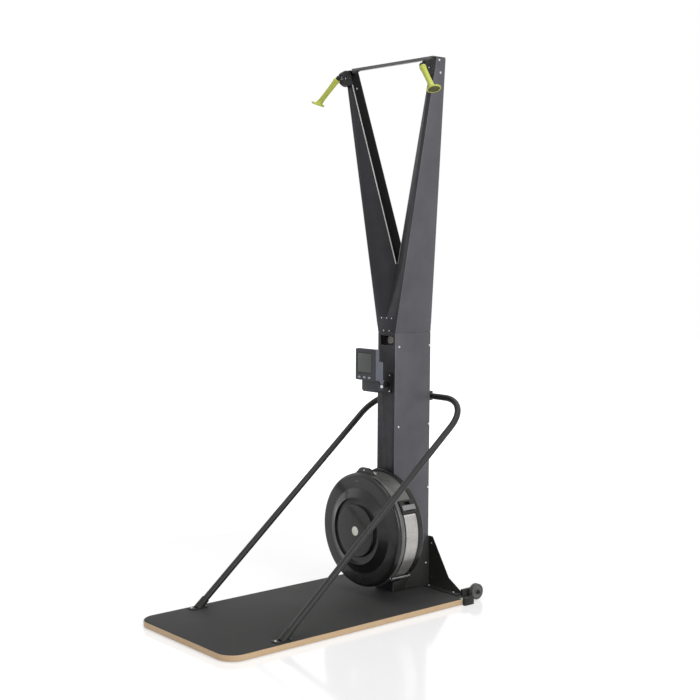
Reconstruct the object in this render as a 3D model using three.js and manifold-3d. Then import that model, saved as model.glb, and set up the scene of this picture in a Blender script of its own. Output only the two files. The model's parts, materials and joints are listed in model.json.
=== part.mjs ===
// Ski trainer machine: a Y-shaped tower on a wooden deck, braced by one bent tube. Two handles pull cords
// that run over the arm tops, down inside the arms, round two idlers and onto drums on the fan's shaft.
// Millimetres. X is the user's right, +Y points from the user to the tower, Z is up.
// The origin lies on the floor, in the middle of the machine's box.
import * as THREE from "three";
import { mergeVertices } from "three/addons/utils/BufferGeometryUtils.js";
import Module from "manifold-3d";

// Overall sizes and fits
const overallHeight = 2150;
const seat = 0.3;
const overrun = 6;
const weld = 0.0005;
const sheet = 3;

// Deck
const deckLength = 1150;
const rearReach = 120;
const deckWidth = 597;
const deckFrontCorner = 70;
const deckRearCorner = 16;
const padThickness = 2;
const padWidth = 60;
const padInset = 45;
const plyThickness = 21.8;
const laminateThickness = 1;
const laminateInset = 2;

// Cross member behind the deck, its end feet, wheel brackets and studs
const crossOverhang = 15;
const crossDepth = 36;
const crossBottom = 3;
const footLength = 50;
const footHeight = 30;
const footDeckGap = 1;
const wheelDeckInset = 36.5;
const wheelBracketThickness = 12;
const wheelBracketFront = 24;
const wheelBracketBottom = 10;
const wheelBracketTop = 48;
const wheelRadius = 32;
const wheelWidth = 24;
const wheelLift = 2;
const wheelTreadRound = 5;
const wheelHubRadius = 13;
const wheelDish = 3;
const studRadius = 5;
const studHeadRadius = 9;
const studHeadLength = 4;

// Lower tower
const towerWidth = 104;
const towerDepth = 196;
const towerOverhang = 33;
const seamHeight = 1078;
const flangeDepth = 22;
const windowWidth = 74;
const windowBottomDrop = 50;
const windowTopDrop = 11;
const windowRound = 3;
const shaftHoleRadius = 32;

// Arms
const junctionRise = 65;
const crotchRise = 267;
const capThickness = 3;
const crossbarRise = 7;
const armTopHalfWidth = 267;
const armTopWidth = 27.5;
const armTopDepth = 48;
const valleyDepth = 54;
const innerFlangeDepth = 50;
const crossbarSetback = 8;
const crossbarDepth = 20;
const crossbarThickness = 12;
const crossbarLap = 4;
const flareLength = 34;
const flareDrop = 9;

// Gussets
const gussetHeight = 206;
const gussetDeckInset = 49.5;
const gussetApexWidth = 24;
const gussetKneeX = 172;
const gussetKneeHeight = 52;
const gussetTipHeight = 6;
const gussetSideReach = 138;
const gussetSideTip = 10;
const gussetTopFlat = 12;

// Brace
const braceTubeRadius = 12.5;
const braceDeckInset = 32.5;
const braceTopHeight = 811;
const braceBend = 146;
const braceFootSetback = 254;
const braceClampHalfWidth = 30;
const braceClampWall = 6;
const braceFootLength = 74;
const braceFootWidth = 36;
const braceFootThickness = 4;
const braceSleeveWall = 3;
const braceSleeveLength = 26;

// Heads: pulley housings at the arm tops
const headX = 244;
const headForward = 17;
const headDrop = 43;
const housingRadius = 31.5;
const housingWidth = 29;
const housingTongueTop = 26;
const housingTongueBottom = 29;
const pulleyWidth = 12;
const pulleyRim = 26;
const pulleyRoot = 21;
const pulleyGroove = 6;
const pulleySideGap = 0.8;
const pulleyRimGap = 1;
const boltRadius = 4;
const boltHeadRadius = 7.5;
const boltHeadLength = 3;
const cordRadius = 2.5;
const cordSides = 8;
const exitLength = 20.6;
const exitForwardShare = 0.78;
const mouthRadius = 5;

// Cord stops and handles
const stopRadius = 10;
const socketDepth = 3;
const handleOutShare = 0.664;
const handleForwardShare = 0.213;
const handleDownShare = 0.716;
const gripLength = 136;
const gripRadius = 12;
const gripWaist = 10.6;
const gripRound = 3;
const gripCollarRadius = 13;
const gripCollarLength = 12;
const gripFlangeRadius = 28;
const gripFlangeThickness = 6;
const gripFlangeOffset = 8;
const gripConeLength = 20;
const gripRelief = 2;

// Idlers
const idlerX = 19;
const idlerDrop = 31;
const idlerSetback = 43;
const idlerRoot = 11;
const idlerRim = 16.5;
const idlerWidth = 10;
const idlerGroove = 6;
const idlerPinRadius = 3;
const idlerPlateThickness = 4;
const idlerPlateHeight = 56;
const idlerPlateFlange = 20;

// Fan shaft, drums and bearings
const fanHeight = 292;
const shaftRadius = 8.5;
const shaftInset = 18;
const drumRoot = 20;
const drumRim = 30;
const drumWidth = 20;
const drumGroove = 14;
const drumSetback = 31;
const drumPitch = 26;
const bearingRadius = 20;
const bearingWidth = 12;
const rearBearingSetback = 88;
const rearBossRadius = 30;
const rearBossBore = 12;
const cordPostDrop = 148;
const cordPostLength = 92;
const returnCordRadius = 4;
const returnCordSetback = 118;

// Fan case
const caseRadius = 228;
const caseWall = 3;
const caseReach = 138;
const frontShellDepth = 37;
const backShellDepth = 28;
const hubWall = 7;
const hubLength = 18;
const screenThickness = 1.8;
const screenLap = 4;
const rimRound = 14;
const coneRadius = 170;
const bossRadius = 133;
const bossRise = 19;
const grooveRise = 11;
const discRadius = 105;
const discRise = 24;
const discEdge = 3;
const tabAngles = [184, -57, -123];
const caseTabWidth = 20;
const caseTabRise = 8;
const caseTabDepth = 14;
const topTabAngle = 14;
const topTabRise = 22;
const rearTabRise = 10;
const bandStartAngle = 162;
const bandEndAngle = 378;
const wrapStartAngle = 38;
const arcGapAngle = 0.15;
const damperInsetAngle = 0.8;
const damperRise = 11;
const slotStartAngle = 21;
const slotEndAngle = 35.5;
const slotMargin = 22;
const leverStartAngle = 21.8;
const leverSweepAngle = 6;
const leverRise = 18;
const leverMargin = 25;
const shutterThickness = 3;
const shutterStartAngle = 12;
const shutterEndAngle = 36;
const shutterMargin = 10;

// Fan rotor
const rotorHubRadius = 26;
const rotorFrontReach = 90;
const rotorRearReach = 30;
const rotorPlateReach = 52;
const rotorPlateThickness = 4;
const rotorTipClearance = 26.6;
const rotorRimWidth = 12;
const rotorRimFrontReach = 62;
const rotorRimRearReach = 34;
const bladeCount = 14;
const bladeThickness = 3;
const bladeInner = 44;
const bladeReach = 88;

// Monitor
const monitorWidth = 120;
const monitorCenterX = -4;
const monitorReach = 110;
const monitorBottom = 892;
const monitorHeight = 126;
const monitorUpperDepth = 20;
const monitorLowerDepth = 42;
const monitorStepRise = 76;
const monitorEdge = 5;
const podHalfWidth = 48;
const podReach = 90;
const podRearReach = 58;
const podDrop = 47;
const podCorner = 12;
const podOverlap = 6;
const knuckleHalfWidth = 10;
const knuckleGap = 0.5;
const pivotReach = 72;
const pivotDrop = 23;
const pivotRadius = 4;
const pivotHeadRadius = 7;
const pivotHeadLength = 4;
const knuckleRadius = 15;
const armPlateHalfWidth = 32;
const armPlateDrop = 56;
const armPlateRise = 26;
const armPlateThickness = 4;
const armBarHeight = 22;
const screenWidth = 90;
const screenHeight = 84;
const screenCenterX = -10;
const screenRise = 70;
const screenDepth = 2;
const screenPane = 1.4;
const buttonWidth = 14;
const buttonHeight = 8;
const buttonDepth = 5;
const buttonProud = 1.6;
const buttonTravel = 1.2;
const buttonPitch = 30;
const buttonRise = 12;
const buttonGap = 0.4;
const buttonRound = 3;

// Facets
const roundSides = 20;
const smallSides = 12;
const caseSides = 60;
const cornerSteps = 4;
const bendSteps = 10;
const stepAngle = 5;
const quarterTurn = 90;
const halfTurn = 180;
const threeQuarterTurn = 270;
const fullTurn = 360;

// Places that follow from the sizes
const deckFront = -(deckLength + rearReach) / 2;
const deckRear = deckFront + deckLength;
const deckHalf = deckWidth / 2;
const crossHalfWidth = deckHalf + crossOverhang;
const wheelInner = deckHalf - wheelDeckInset;
const gussetHalfWidth = deckHalf - gussetDeckInset;
const braceHalfWidth = deckHalf - braceDeckInset;
const plyBottom = padThickness + seat;
const plyTop = plyBottom + plyThickness;
const deckTop = plyTop + seat + laminateThickness;
const floorOfTower = deckTop + seat;
const towerHalf = towerWidth / 2;
const towerRear = deckRear + towerOverhang;
const towerFront = towerRear - towerDepth;
const crossFront = deckRear + seat;
const crossRear = crossFront + crossDepth;
const wheelY = deckRear + rearReach - wheelRadius;
const wheelZ = wheelRadius + wheelLift;
const innerHalf = towerHalf - sheet - seat;
const armTop = overallHeight - crossbarRise - capThickness - seat;
const headY = towerFront - headForward;
const headHeight = overallHeight - headDrop;
const windowBottom = seamHeight - windowBottomDrop;
const windowTop = seamHeight - windowTopDrop;
const junctionTop = seamHeight + junctionRise;
const crotchHeight = seamHeight + crotchRise;
const idlerHeight = seamHeight - idlerDrop;
const cordPostHeight = seamHeight - cordPostDrop;
const pulleyTrack = pulleyRoot + cordRadius + seat;
const idlerTrack = idlerRoot + cordRadius + seat;
const drumTrack = drumRoot + cordRadius + seat;
const idlerY = towerFront + idlerSetback;
const idlerCordX = idlerX - idlerTrack;
const armLean = Math.atan2(headX - idlerCordX, headHeight - idlerHeight);
const exitDownShare = Math.sqrt(1 - exitForwardShare ** 2);
const caseFront = towerFront - caseReach;
const caseFrontRear = caseFront + frontShellDepth;
const caseBackFront = towerFront - backShellDepth;
const caseBack = towerFront - seat;
const bossFront = caseFront - bossRise;
const grooveFront = caseFront - grooveRise;
const discFront = caseFront - discRise;
const shaftFront = caseFront + shaftInset;
const rotorFront = towerFront - rotorFrontReach;
const rotorRear = towerFront - rotorRearReach;
const rotorPlateFront = towerFront - rotorPlateReach;
const rotorRimFront = towerFront - rotorRimFrontReach;
const rotorRimRear = towerFront - rotorRimRearReach;
const bladeFront = towerFront - bladeReach;
const monitorFront = towerFront - monitorReach;
const monitorTop = monitorBottom + monitorHeight;
const monitorStep = monitorBottom + monitorStepRise;
const podFront = towerFront - podReach;
const podRear = towerFront - podRearReach;
const podBottom = monitorBottom - podDrop;
const podTop = monitorBottom + podOverlap;
const pivotY = towerFront - pivotReach;
const pivotHeight = monitorBottom - pivotDrop;
const armPlateBottom = monitorBottom - armPlateDrop;
const armPlateTop = monitorBottom + armPlateRise;
const screenCenterZ = monitorBottom + screenRise;
const buttonHeightZ = monitorBottom + buttonRise;
const caseInner = caseRadius - caseWall;
const screenOuter = caseInner - seat * 2;
const screenInner = screenOuter - screenThickness;
const rotorRadius = screenInner - rotorTipClearance;
const shaftBore = shaftRadius + seat;
const bearingBore = bearingRadius + seat;
const rearBearingFront = towerFront + rearBearingSetback;
const returnTrack = rearBossRadius + returnCordRadius + seat;
const braceFootY = deckFront + braceFootSetback;
const braceTubeY = towerRear + seat + braceClampWall + seat + braceTubeRadius;

const wasm = await Module();
wasm.setup();

// Helpers

function radians(degrees) {
  return (degrees * Math.PI) / halfTurn;
}

// A bare indexed mesh whose corners are shared and whose faces point out.
function clean(geometry) {
  const bare = geometry.clone();
  bare.deleteAttribute("normal");
  bare.deleteAttribute("uv");
  const merged = mergeVertices(bare, weld);
  const position = merged.attributes.position;
  const faces = [];
  let volume = 0;
  const a = new THREE.Vector3();
  const b = new THREE.Vector3();
  const c = new THREE.Vector3();
  for (let i = 0; i < merged.index.count; i += 3) {
    const face = [merged.index.getX(i), merged.index.getX(i + 1), merged.index.getX(i + 2)];
    if (face[0] === face[1] || face[1] === face[2] || face[2] === face[0]) continue;
    faces.push(face);
    a.fromBufferAttribute(position, face[0]);
    b.fromBufferAttribute(position, face[1]);
    c.fromBufferAttribute(position, face[2]);
    volume += a.dot(b.cross(c));
  }
  if (volume < 0) faces.forEach((face) => face.reverse());
  merged.setIndex(faces.flat());
  return merged;
}

function toSolid(geometry) {
  const ready = clean(geometry);
  const vertProperties = new Float32Array(ready.attributes.position.array);
  const triVerts = new Uint32Array(ready.index.array);
  return new wasm.Manifold(new wasm.Mesh({ numProp: 3, vertProperties, triVerts }));
}

function toGeometry(manifold) {
  const mesh = manifold.getMesh();
  const geometry = new THREE.BufferGeometry();
  geometry.setAttribute("position", new THREE.BufferAttribute(mesh.vertProperties, 3));
  geometry.setIndex(new THREE.BufferAttribute(mesh.triVerts, 1));
  return geometry;
}

function join(first, ...others) {
  return toGeometry(others.reduce((sum, item) => sum.add(toSolid(item)), toSolid(first)));
}

function cut(first, ...others) {
  return toGeometry(others.reduce((rest, item) => rest.subtract(toSolid(item)), toSolid(first)));
}

function slab(x, y, z) {
  const geometry = new THREE.BoxGeometry(x[1] - x[0], y[1] - y[0], z[1] - z[0]);
  return geometry.translate((x[0] + x[1]) / 2, (y[0] + y[1]) / 2, (z[0] + z[1]) / 2);
}

function rodX(radius, x, y, z, sides = roundSides) {
  const geometry = new THREE.CylinderGeometry(radius, radius, x[1] - x[0], sides);
  return geometry.rotateZ(Math.PI / 2).translate((x[0] + x[1]) / 2, y, z);
}

function rodY(radius, x, y, z, sides = roundSides) {
  const geometry = new THREE.CylinderGeometry(radius, radius, y[1] - y[0], sides);
  return geometry.translate(x, (y[0] + y[1]) / 2, z);
}

function extrude(outline, depth) {
  const shape = new THREE.Shape(outline.map((point) => new THREE.Vector2(...point)));
  return new THREE.ExtrudeGeometry(shape, { depth, bevelEnabled: false });
}

// Plates cut from an outline: in the X-Y plane, in the Y-Z plane and in the X-Z plane.
function plateXY(outline, z) {
  return extrude(outline, z[1] - z[0]).translate(0, 0, z[0]);
}

function plateYZ(outline, x) {
  const turn = new THREE.Matrix4().makeBasis(
    new THREE.Vector3(0, 1, 0), new THREE.Vector3(0, 0, 1), new THREE.Vector3(1, 0, 0));
  return extrude(outline, x[1] - x[0]).applyMatrix4(turn).translate(x[0], 0, 0);
}

function plateXZ(outline, y) {
  return extrude(outline, y[1] - y[0]).rotateX(Math.PI / 2).translate(0, y[1], 0);
}

// A turned piece. Profile points are [radius, place along the axis], on a closed line or from axis to axis.
function turned(profile, sides = roundSides) {
  return new THREE.LatheGeometry(profile.map((point) => new THREE.Vector2(...point)), sides);
}

function turnedX(profile, sides) {
  return turned(profile, sides).rotateZ(-Math.PI / 2);
}

function ringProfile(inner, outer, from, to) {
  return [[inner, from], [outer, from], [outer, to], [inner, to], [inner, from]];
}

// A curved strip about the fan's axis, from one angle to another.
function arcStrip(inner, outer, start, end, y) {
  const steps = Math.max(2, Math.ceil((end - start) / stepAngle));
  const outline = [];
  for (let i = 0; i <= steps; i += 1) {
    const angle = radians(start + ((end - start) * i) / steps);
    outline.push([outer * Math.cos(angle), outer * Math.sin(angle)]);
  }
  for (let i = steps; i >= 0; i -= 1) {
    const angle = radians(start + ((end - start) * i) / steps);
    outline.push([inner * Math.cos(angle), inner * Math.sin(angle)]);
  }
  return plateXZ(outline, y).translate(0, 0, fanHeight);
}

// A solid between level sections that all have the same number of [x, y] points. Its four-cornered sides
// are each two flat faces. The crease of a side that turnedSides lists for its level runs the other way.
function loft(sections, turnedSides = []) {
  const flat = sections[0].outline.map((point) => new THREE.Vector2(...point));
  const rings = sections.map(({ outline, z }) => outline.map(([x, y]) => [x, y, z]));
  const count = flat.length;
  const caps = THREE.ShapeUtils.triangulateShape(rings[0].map(([x, y]) => new THREE.Vector2(x, y)), []);
  const faces = caps.map((face) => [face[2], face[1], face[0]]);
  const last = (rings.length - 1) * count;
  caps.forEach((face) => faces.push(face.map((corner) => corner + last)));
  for (let level = 0; level + 1 < rings.length; level += 1) {
    for (let i = 0; i < count; i += 1) {
      const next = (i + 1) % count;
      const low = level * count;
      const high = low + count;
      if (turnedSides[level]?.includes(i)) {
        faces.push([low + i, low + next, high + i], [low + next, high + next, high + i]);
      } else {
        faces.push([low + i, low + next, high + next], [low + i, high + next, high + i]);
      }
    }
  }
  const geometry = new THREE.BufferGeometry();
  geometry.setAttribute("position", new THREE.Float32BufferAttribute(rings.flat(2), 3));
  geometry.setIndex(faces.flat());
  return geometry;
}

// A path through points, one tube section at each of them.
class Route extends THREE.Curve {
  constructor(points) {
    super();
    this.points = points;
  }

  getPoint(t) {
    const place = t * (this.points.length - 1);
    const index = Math.min(Math.floor(place + weld), this.points.length - 1);
    const next = Math.min(index + 1, this.points.length - 1);
    return this.points[index].clone().lerp(this.points[next], Math.max(place - index, 0));
  }

  getPointAt(t) {
    return this.getPoint(t);
  }

  getTangentAt(t) {
    const index = Math.round(t * (this.points.length - 1));
    const before = this.points[Math.max(index - 1, 0)];
    const after = this.points[Math.min(index + 1, this.points.length - 1)];
    const into = this.points[index].clone().sub(before).normalize();
    const out = after.clone().sub(this.points[index]).normalize();
    return into.add(out).normalize();
  }
}

function tube(points, radius, sides) {
  const outline = [];
  for (let i = 0; i < sides; i += 1) {
    const angle = (i * 2 * Math.PI) / sides;
    outline.push(new THREE.Vector2(radius * Math.cos(angle), radius * Math.sin(angle)));
  }
  const extrudePath = new Route(points);
  return new THREE.ExtrudeGeometry(new THREE.Shape(outline), { steps: points.length - 1, extrudePath });
}

// Points of a path whose inner corners are rounded to one radius.
function rounded(corners, radius, steps) {
  const points = [corners[0].clone()];
  for (let i = 1; i + 1 < corners.length; i += 1) {
    const back = corners[i - 1].clone().sub(corners[i]).normalize();
    const ahead = corners[i + 1].clone().sub(corners[i]).normalize();
    const half = Math.acos(back.dot(ahead)) / 2;
    const reach = radius / Math.tan(half);
    const middle = back.clone().add(ahead).normalize().multiplyScalar(radius / Math.sin(half));
    const center = corners[i].clone().add(middle);
    const from = corners[i].clone().addScaledVector(back, reach).sub(center);
    const to = corners[i].clone().addScaledVector(ahead, reach).sub(center);
    const sweep = from.angleTo(to);
    for (let k = 0; k <= steps; k += 1) {
      const share = k / steps;
      const point = from.clone().multiplyScalar(Math.sin((1 - share) * sweep) / Math.sin(sweep));
      point.addScaledVector(to, Math.sin(share * sweep) / Math.sin(sweep));
      points.push(point.add(center));
    }
  }
  points.push(corners[corners.length - 1].clone());
  return points;
}

// Points of a round corner in an outline, from one angle to another.
function corner(x, y, radius, start, end, steps = cornerSteps) {
  const points = [];
  for (let i = 0; i <= steps; i += 1) {
    const angle = radians(start + ((end - start) * i) / steps);
    points.push([x + radius * Math.cos(angle), y + radius * Math.sin(angle)]);
  }
  return points;
}

function roundedBox(x, z, radius) {
  return [
    ...corner(x[0] + radius, z[0] + radius, radius, halfTurn, threeQuarterTurn),
    ...corner(x[1] - radius, z[0] + radius, radius, threeQuarterTurn, fullTurn),
    ...corner(x[1] - radius, z[1] - radius, radius, 0, quarterTurn),
    ...corner(x[0] + radius, z[1] - radius, radius, quarterTurn, halfTurn),
  ];
}

function grown(span, amount) {
  return [span[0] - amount, span[1] + amount];
}

// Materials

function finish(color, roughness, metalness) {
  return () => new THREE.MeshStandardMaterial({ color, roughness, metalness });
}

const paintedPanel = finish(0x5b5a60, 0.5, 0.3);
const paintedDark = finish(0x303033, 0.55, 0.3);
const blackSteel = finish(0x161616, 0.45, 0.3);
const blackPlastic = finish(0x242424, 0.6, 0);
const brightSteel = finish(0xb4b0ac, 0.35, 0.9);
const boltSteel = finish(0xc8c8c8, 0.3, 0.9);
const plyWood = finish(0xcfa87c, 0.7, 0);
const deckLaminate = finish(0x3a3a3a, 0.85, 0);
const rubber = finish(0x1c1c1c, 0.9, 0);
const limeGrip = finish(0xb2be52, 0.6, 0);
const nylon = finish(0xc9c5b8, 0.5, 0);
const cordBlack = finish(0x202020, 0.8, 0);
const screenGray = finish(0x7d837f, 0.3, 0);
const buttonGray = finish(0xa9adb2, 0.6, 0);
const castIron = finish(0x4a4a4c, 0.6, 0.6);

const group = new THREE.Group();
group.name = "ski_trainer_machine";

function part(name, geometry, material) {
  const mesh = new THREE.Mesh(clean(geometry), material());
  mesh.name = name;
  group.add(mesh);
}

// Right-hand shapes are mirrored for the left.
function onSide(side, geometry) {
  return side > 0 ? geometry : geometry.scale(side, 1, 1);
}

const sides = [["left", -1], ["right", 1]];

// Deck

function deckOutline(inset) {
  const half = deckHalf - inset;
  const front = deckFront + inset;
  const rear = deckRear - inset;
  const frontRadius = deckFrontCorner - inset;
  const rearRadius = deckRearCorner - inset;
  return [
    ...corner(-half + frontRadius, front + frontRadius, frontRadius, halfTurn, threeQuarterTurn),
    ...corner(half - frontRadius, front + frontRadius, frontRadius, threeQuarterTurn, fullTurn),
    ...corner(half - rearRadius, rear - rearRadius, rearRadius, 0, quarterTurn),
    ...corner(-half + rearRadius, rear - rearRadius, rearRadius, quarterTurn, halfTurn),
  ];
}

function makeDeck() {
  part("deck_board", plateXY(deckOutline(0), [plyBottom, plyTop]), plyWood);
  part("deck_surface", plateXY(deckOutline(laminateInset), [plyTop + seat, deckTop]), deckLaminate);
  const padHalf = deckHalf - deckFrontCorner;
  const frontPad = deckFront + padInset;
  const rearPad = deckRear - padInset - padWidth;
  for (const [place, y] of [["front", frontPad], ["rear", rearPad]]) {
    part(`deck_pad_${place}`, slab([-padHalf, padHalf], [y, y + padWidth], [0, padThickness]), rubber);
  }
}

// Cross member, gussets and wheels

function makeCrossMember() {
  let body = slab([-crossHalfWidth, crossHalfWidth], [crossFront, crossRear], [crossBottom, deckTop]);
  const stubEnd = wheelInner + seat + wheelWidth + seat + studHeadLength;
  for (const [, side] of sides) {
    const foot = slab(
      [deckHalf + footDeckGap, crossHalfWidth], [crossRear - footLength, crossRear], [0, footHeight]);
    const plate = slab(
      [wheelInner - wheelBracketThickness, wheelInner],
      [crossFront + wheelBracketFront, wheelY + studHeadRadius],
      [wheelBracketBottom, wheelBracketTop]);
    const stud = rodX(studRadius, [wheelInner - seat, stubEnd], wheelY, wheelZ, smallSides);
    const head = rodX(studHeadRadius, [stubEnd - studHeadLength, stubEnd], wheelY, wheelZ, smallSides);
    body = join(body, onSide(side, foot), onSide(side, plate), onSide(side, stud), onSide(side, head));
  }
  part("rear_cross_member", body, blackSteel);
}

function makeWheel(name, side) {
  const inner = wheelInner + seat;
  const outer = inner + wheelWidth;
  const bore = studRadius + seat;
  const profile = [
    [bore, inner], [wheelHubRadius, inner], [wheelHubRadius, inner + wheelDish],
    [wheelRadius - wheelTreadRound * 2, inner + wheelDish], [wheelRadius - wheelTreadRound * 2, inner],
    [wheelRadius - wheelTreadRound, inner], [wheelRadius, inner + wheelTreadRound],
    [wheelRadius, outer - wheelTreadRound], [wheelRadius - wheelTreadRound, outer],
    [wheelRadius - wheelTreadRound * 2, outer], [wheelRadius - wheelTreadRound * 2, outer - wheelDish],
    [wheelHubRadius, outer - wheelDish], [wheelHubRadius, outer], [bore, outer], [bore, inner],
  ];
  const wheel = turnedX(profile, roundSides).translate(0, wheelY, wheelZ);
  part(`wheel_${name}`, onSide(side, wheel), rubber);
}

function makeGusset(name, side) {
  const inside = towerHalf + seat;
  const outside = inside + sheet;
  const plateFront = towerRear + seat;
  const plateRear = plateFront + sheet;
  const bottom = floorOfTower;
  const top = bottom + gussetHeight;
  const sideFlange = plateYZ([
    [plateRear - gussetSideReach, bottom], [plateRear, bottom], [plateRear, top],
    [plateRear - gussetTopFlat, top], [plateRear - gussetSideReach, bottom + gussetSideTip],
  ], [inside, outside]);
  const rearPlate = plateXZ([
    [inside, bottom], [gussetHalfWidth, bottom], [gussetHalfWidth, bottom + gussetTipHeight],
    [gussetKneeX, bottom + gussetKneeHeight], [inside + gussetApexWidth, top], [inside, top],
  ], [plateFront, plateRear]);
  const footFlange = slab([inside, gussetHalfWidth], [crossFront, plateRear], [bottom, bottom + sheet]);
  part(`gusset_${name}`, onSide(side, join(sideFlange, rearPlate, footFlange)), blackSteel);
}

// Brace

function braceAngle() {
  const rise = braceTopHeight - deckTop;
  return Math.atan2(rise, braceTubeY - braceFootY);
}

function braceFootCenter() {
  const plateTop = deckTop + seat + braceFootThickness;
  const lift = plateTop + seat + braceTubeRadius * Math.cos(braceAngle());
  const along = (lift - deckTop) / Math.tan(braceAngle());
  return new THREE.Vector3(braceHalfWidth, braceFootY + along, lift);
}

function makeBrace() {
  const foot = braceFootCenter();
  const corners = [
    new THREE.Vector3(-foot.x, foot.y, foot.z),
    new THREE.Vector3(-braceHalfWidth, braceTubeY, braceTopHeight),
    new THREE.Vector3(braceHalfWidth, braceTubeY, braceTopHeight),
    foot,
  ];
  part("brace_tube", tube(rounded(corners, braceBend, bendSteps), braceTubeRadius, smallSides), blackSteel);
  const clampFront = towerRear + seat;
  const clampRear = braceTubeY + braceTubeRadius + seat + braceClampWall;
  const reach = braceTubeRadius + seat + braceClampWall;
  const block = slab(
    [-braceClampHalfWidth, braceClampHalfWidth], [clampFront, clampRear],
    [braceTopHeight - reach, braceTopHeight + reach]);
  const bore = rodX(
    braceTubeRadius + seat, grown([-braceClampHalfWidth, braceClampHalfWidth], overrun),
    braceTubeY, braceTopHeight);
  part("brace_clamp", cut(block, bore), blackSteel);
}

function makeBraceFoot(name, side) {
  const foot = braceFootCenter();
  const bottom = deckTop + seat;
  const plate = slab(
    [foot.x - braceFootWidth / 2, foot.x + braceFootWidth / 2],
    [braceFootY - braceFootLength / 2, braceFootY + braceFootLength / 2],
    [bottom, bottom + braceFootThickness]);
  const bore = braceTubeRadius + seat;
  const turn = new THREE.Matrix4().makeRotationX(braceAngle());
  const place = (geometry) => geometry.applyMatrix4(turn).translate(foot.x, foot.y, foot.z);
  const outer = place(rodY(bore + braceSleeveWall, 0, [-braceSleeveLength, braceSleeveLength], 0));
  const hole = place(rodY(bore, 0, [-seat, braceSleeveLength + overrun], 0));
  const room = slab(
    [foot.x - braceFootWidth, foot.x + braceFootWidth],
    [braceFootY - braceFootLength, braceFootY + braceFootLength],
    [bottom - braceSleeveLength * 2, bottom]);
  part(`brace_foot_${name}`, onSide(side, cut(join(plate, outer), hole, room)), blackSteel);
}

// Lower tower

function channelOutline(webFront, webRear, flangeEnd) {
  return [
    [-innerHalf, webFront], [innerHalf, webFront], [innerHalf, flangeEnd],
    [innerHalf - sheet, flangeEnd], [innerHalf - sheet, webRear], [-innerHalf + sheet, webRear],
    [-innerHalf + sheet, flangeEnd], [-innerHalf, flangeEnd],
  ];
}

function makeTower() {
  const span = [floorOfTower, seamHeight - seat];
  const front = plateXY(channelOutline(towerFront, towerFront + sheet, towerFront + flangeDepth), span);
  const webCut = grown([towerFront, towerFront + sheet], overrun);
  const window = plateXZ(
    roundedBox([-windowWidth / 2, windowWidth / 2], [windowBottom, windowTop], windowRound), webCut);
  const shaftHole = rodY(shaftHoleRadius, 0, webCut, fanHeight);
  part("tower_front_panel", cut(front, window, shaftHole), paintedDark);

  const rear = plateXY(channelOutline(towerRear, towerRear - sheet, towerRear - flangeDepth), span);
  const boss = turned([
    [bearingBore, rearBearingFront], [rearBossRadius, rearBearingFront],
    [rearBossRadius, towerRear - sheet / 2], [rearBossBore, towerRear - sheet / 2],
    [rearBossBore, rearBearingFront + bearingWidth + seat],
    [bearingBore, rearBearingFront + bearingWidth + seat], [bearingBore, rearBearingFront],
  ]).translate(0, 0, fanHeight);
  const post = rodY(rearBossRadius, 0, [towerRear - sheet / 2 - cordPostLength, towerRear - sheet / 2],
    cordPostHeight);
  part("tower_rear_panel", join(rear, boss, post), paintedDark);

  for (const [name, side] of sides) {
    const panel = slab([towerHalf - sheet, towerHalf], [towerFront, towerRear], span);
    part(`tower_side_${name}`, onSide(side, panel), paintedPanel);
  }
}

// Arms. Each function below gives a place on the right arm at one height.

function shareBetween(z, low, high) {
  return (z - low) / (high - low);
}

function armOuterX(z) {
  return towerHalf + (armTopHalfWidth - towerHalf) * shareBetween(z, seamHeight, armTop);
}

function armRearY(z) {
  return towerRear - (towerDepth - armTopDepth) * shareBetween(z, seamHeight, armTop);
}

function armInnerX(z) {
  const edge = seat / 2;
  if (z <= crotchHeight) return edge;
  return edge + (armTopHalfWidth - armTopWidth - edge) * shareBetween(z, crotchHeight, armTop);
}

function armInnerFrontY(z) {
  if (z <= crotchHeight) return towerFront + valleyDepth * shareBetween(z, junctionTop, crotchHeight);
  return towerFront + valleyDepth * (1 - shareBetween(z, crotchHeight, armTop));
}

function armInnerBackY(z) {
  const top = towerFront + armTopDepth - sheet - seat;
  const crotch = towerFront + valleyDepth + innerFlangeDepth;
  if (z <= crotchHeight) return armInnerFrontY(z) + innerFlangeDepth;
  return crotch + (top - crotch) * shareBetween(z, crotchHeight, armTop);
}

function armRearInnerY(z) {
  if (z >= crotchHeight) return armInnerBackY(z) + seat;
  const low = towerRear - sheet;
  const high = armInnerBackY(crotchHeight) + seat;
  return low + (high - low) * Math.max(0, shareBetween(z, junctionTop, crotchHeight));
}

function sheetAcross() {
  return sheet / Math.cos(Math.atan2(armTopHalfWidth - towerHalf, armTop - seamHeight));
}

function armFrontSection(z) {
  const outerX = armOuterX(z) - sheetAcross() - seat;
  const innerX = armInnerX(z);
  const frontY = armInnerFrontY(z);
  const slope = (frontY - towerFront) / (outerX - innerX);
  const behind = sheet * Math.hypot(1, slope);
  return [
    [outerX, towerFront], [outerX, towerFront + behind],
    [innerX + sheet, frontY - sheet * slope + behind], [innerX + sheet, armInnerBackY(z)],
    [innerX, armInnerBackY(z)], [innerX, frontY],
  ];
}

function armRearSection(z) {
  const outerX = armOuterX(z) - sheetAcross() - seat;
  const innerX = armInnerX(z);
  return [
    [outerX, armRearY(z)], [innerX, armRearInnerY(z) + sheet],
    [innerX, armRearInnerY(z)], [outerX, armRearY(z) - sheet],
  ];
}

function headPlace(geometry) {
  return geometry.rotateY(armLean).translate(headX, headY, headHeight);
}

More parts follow.
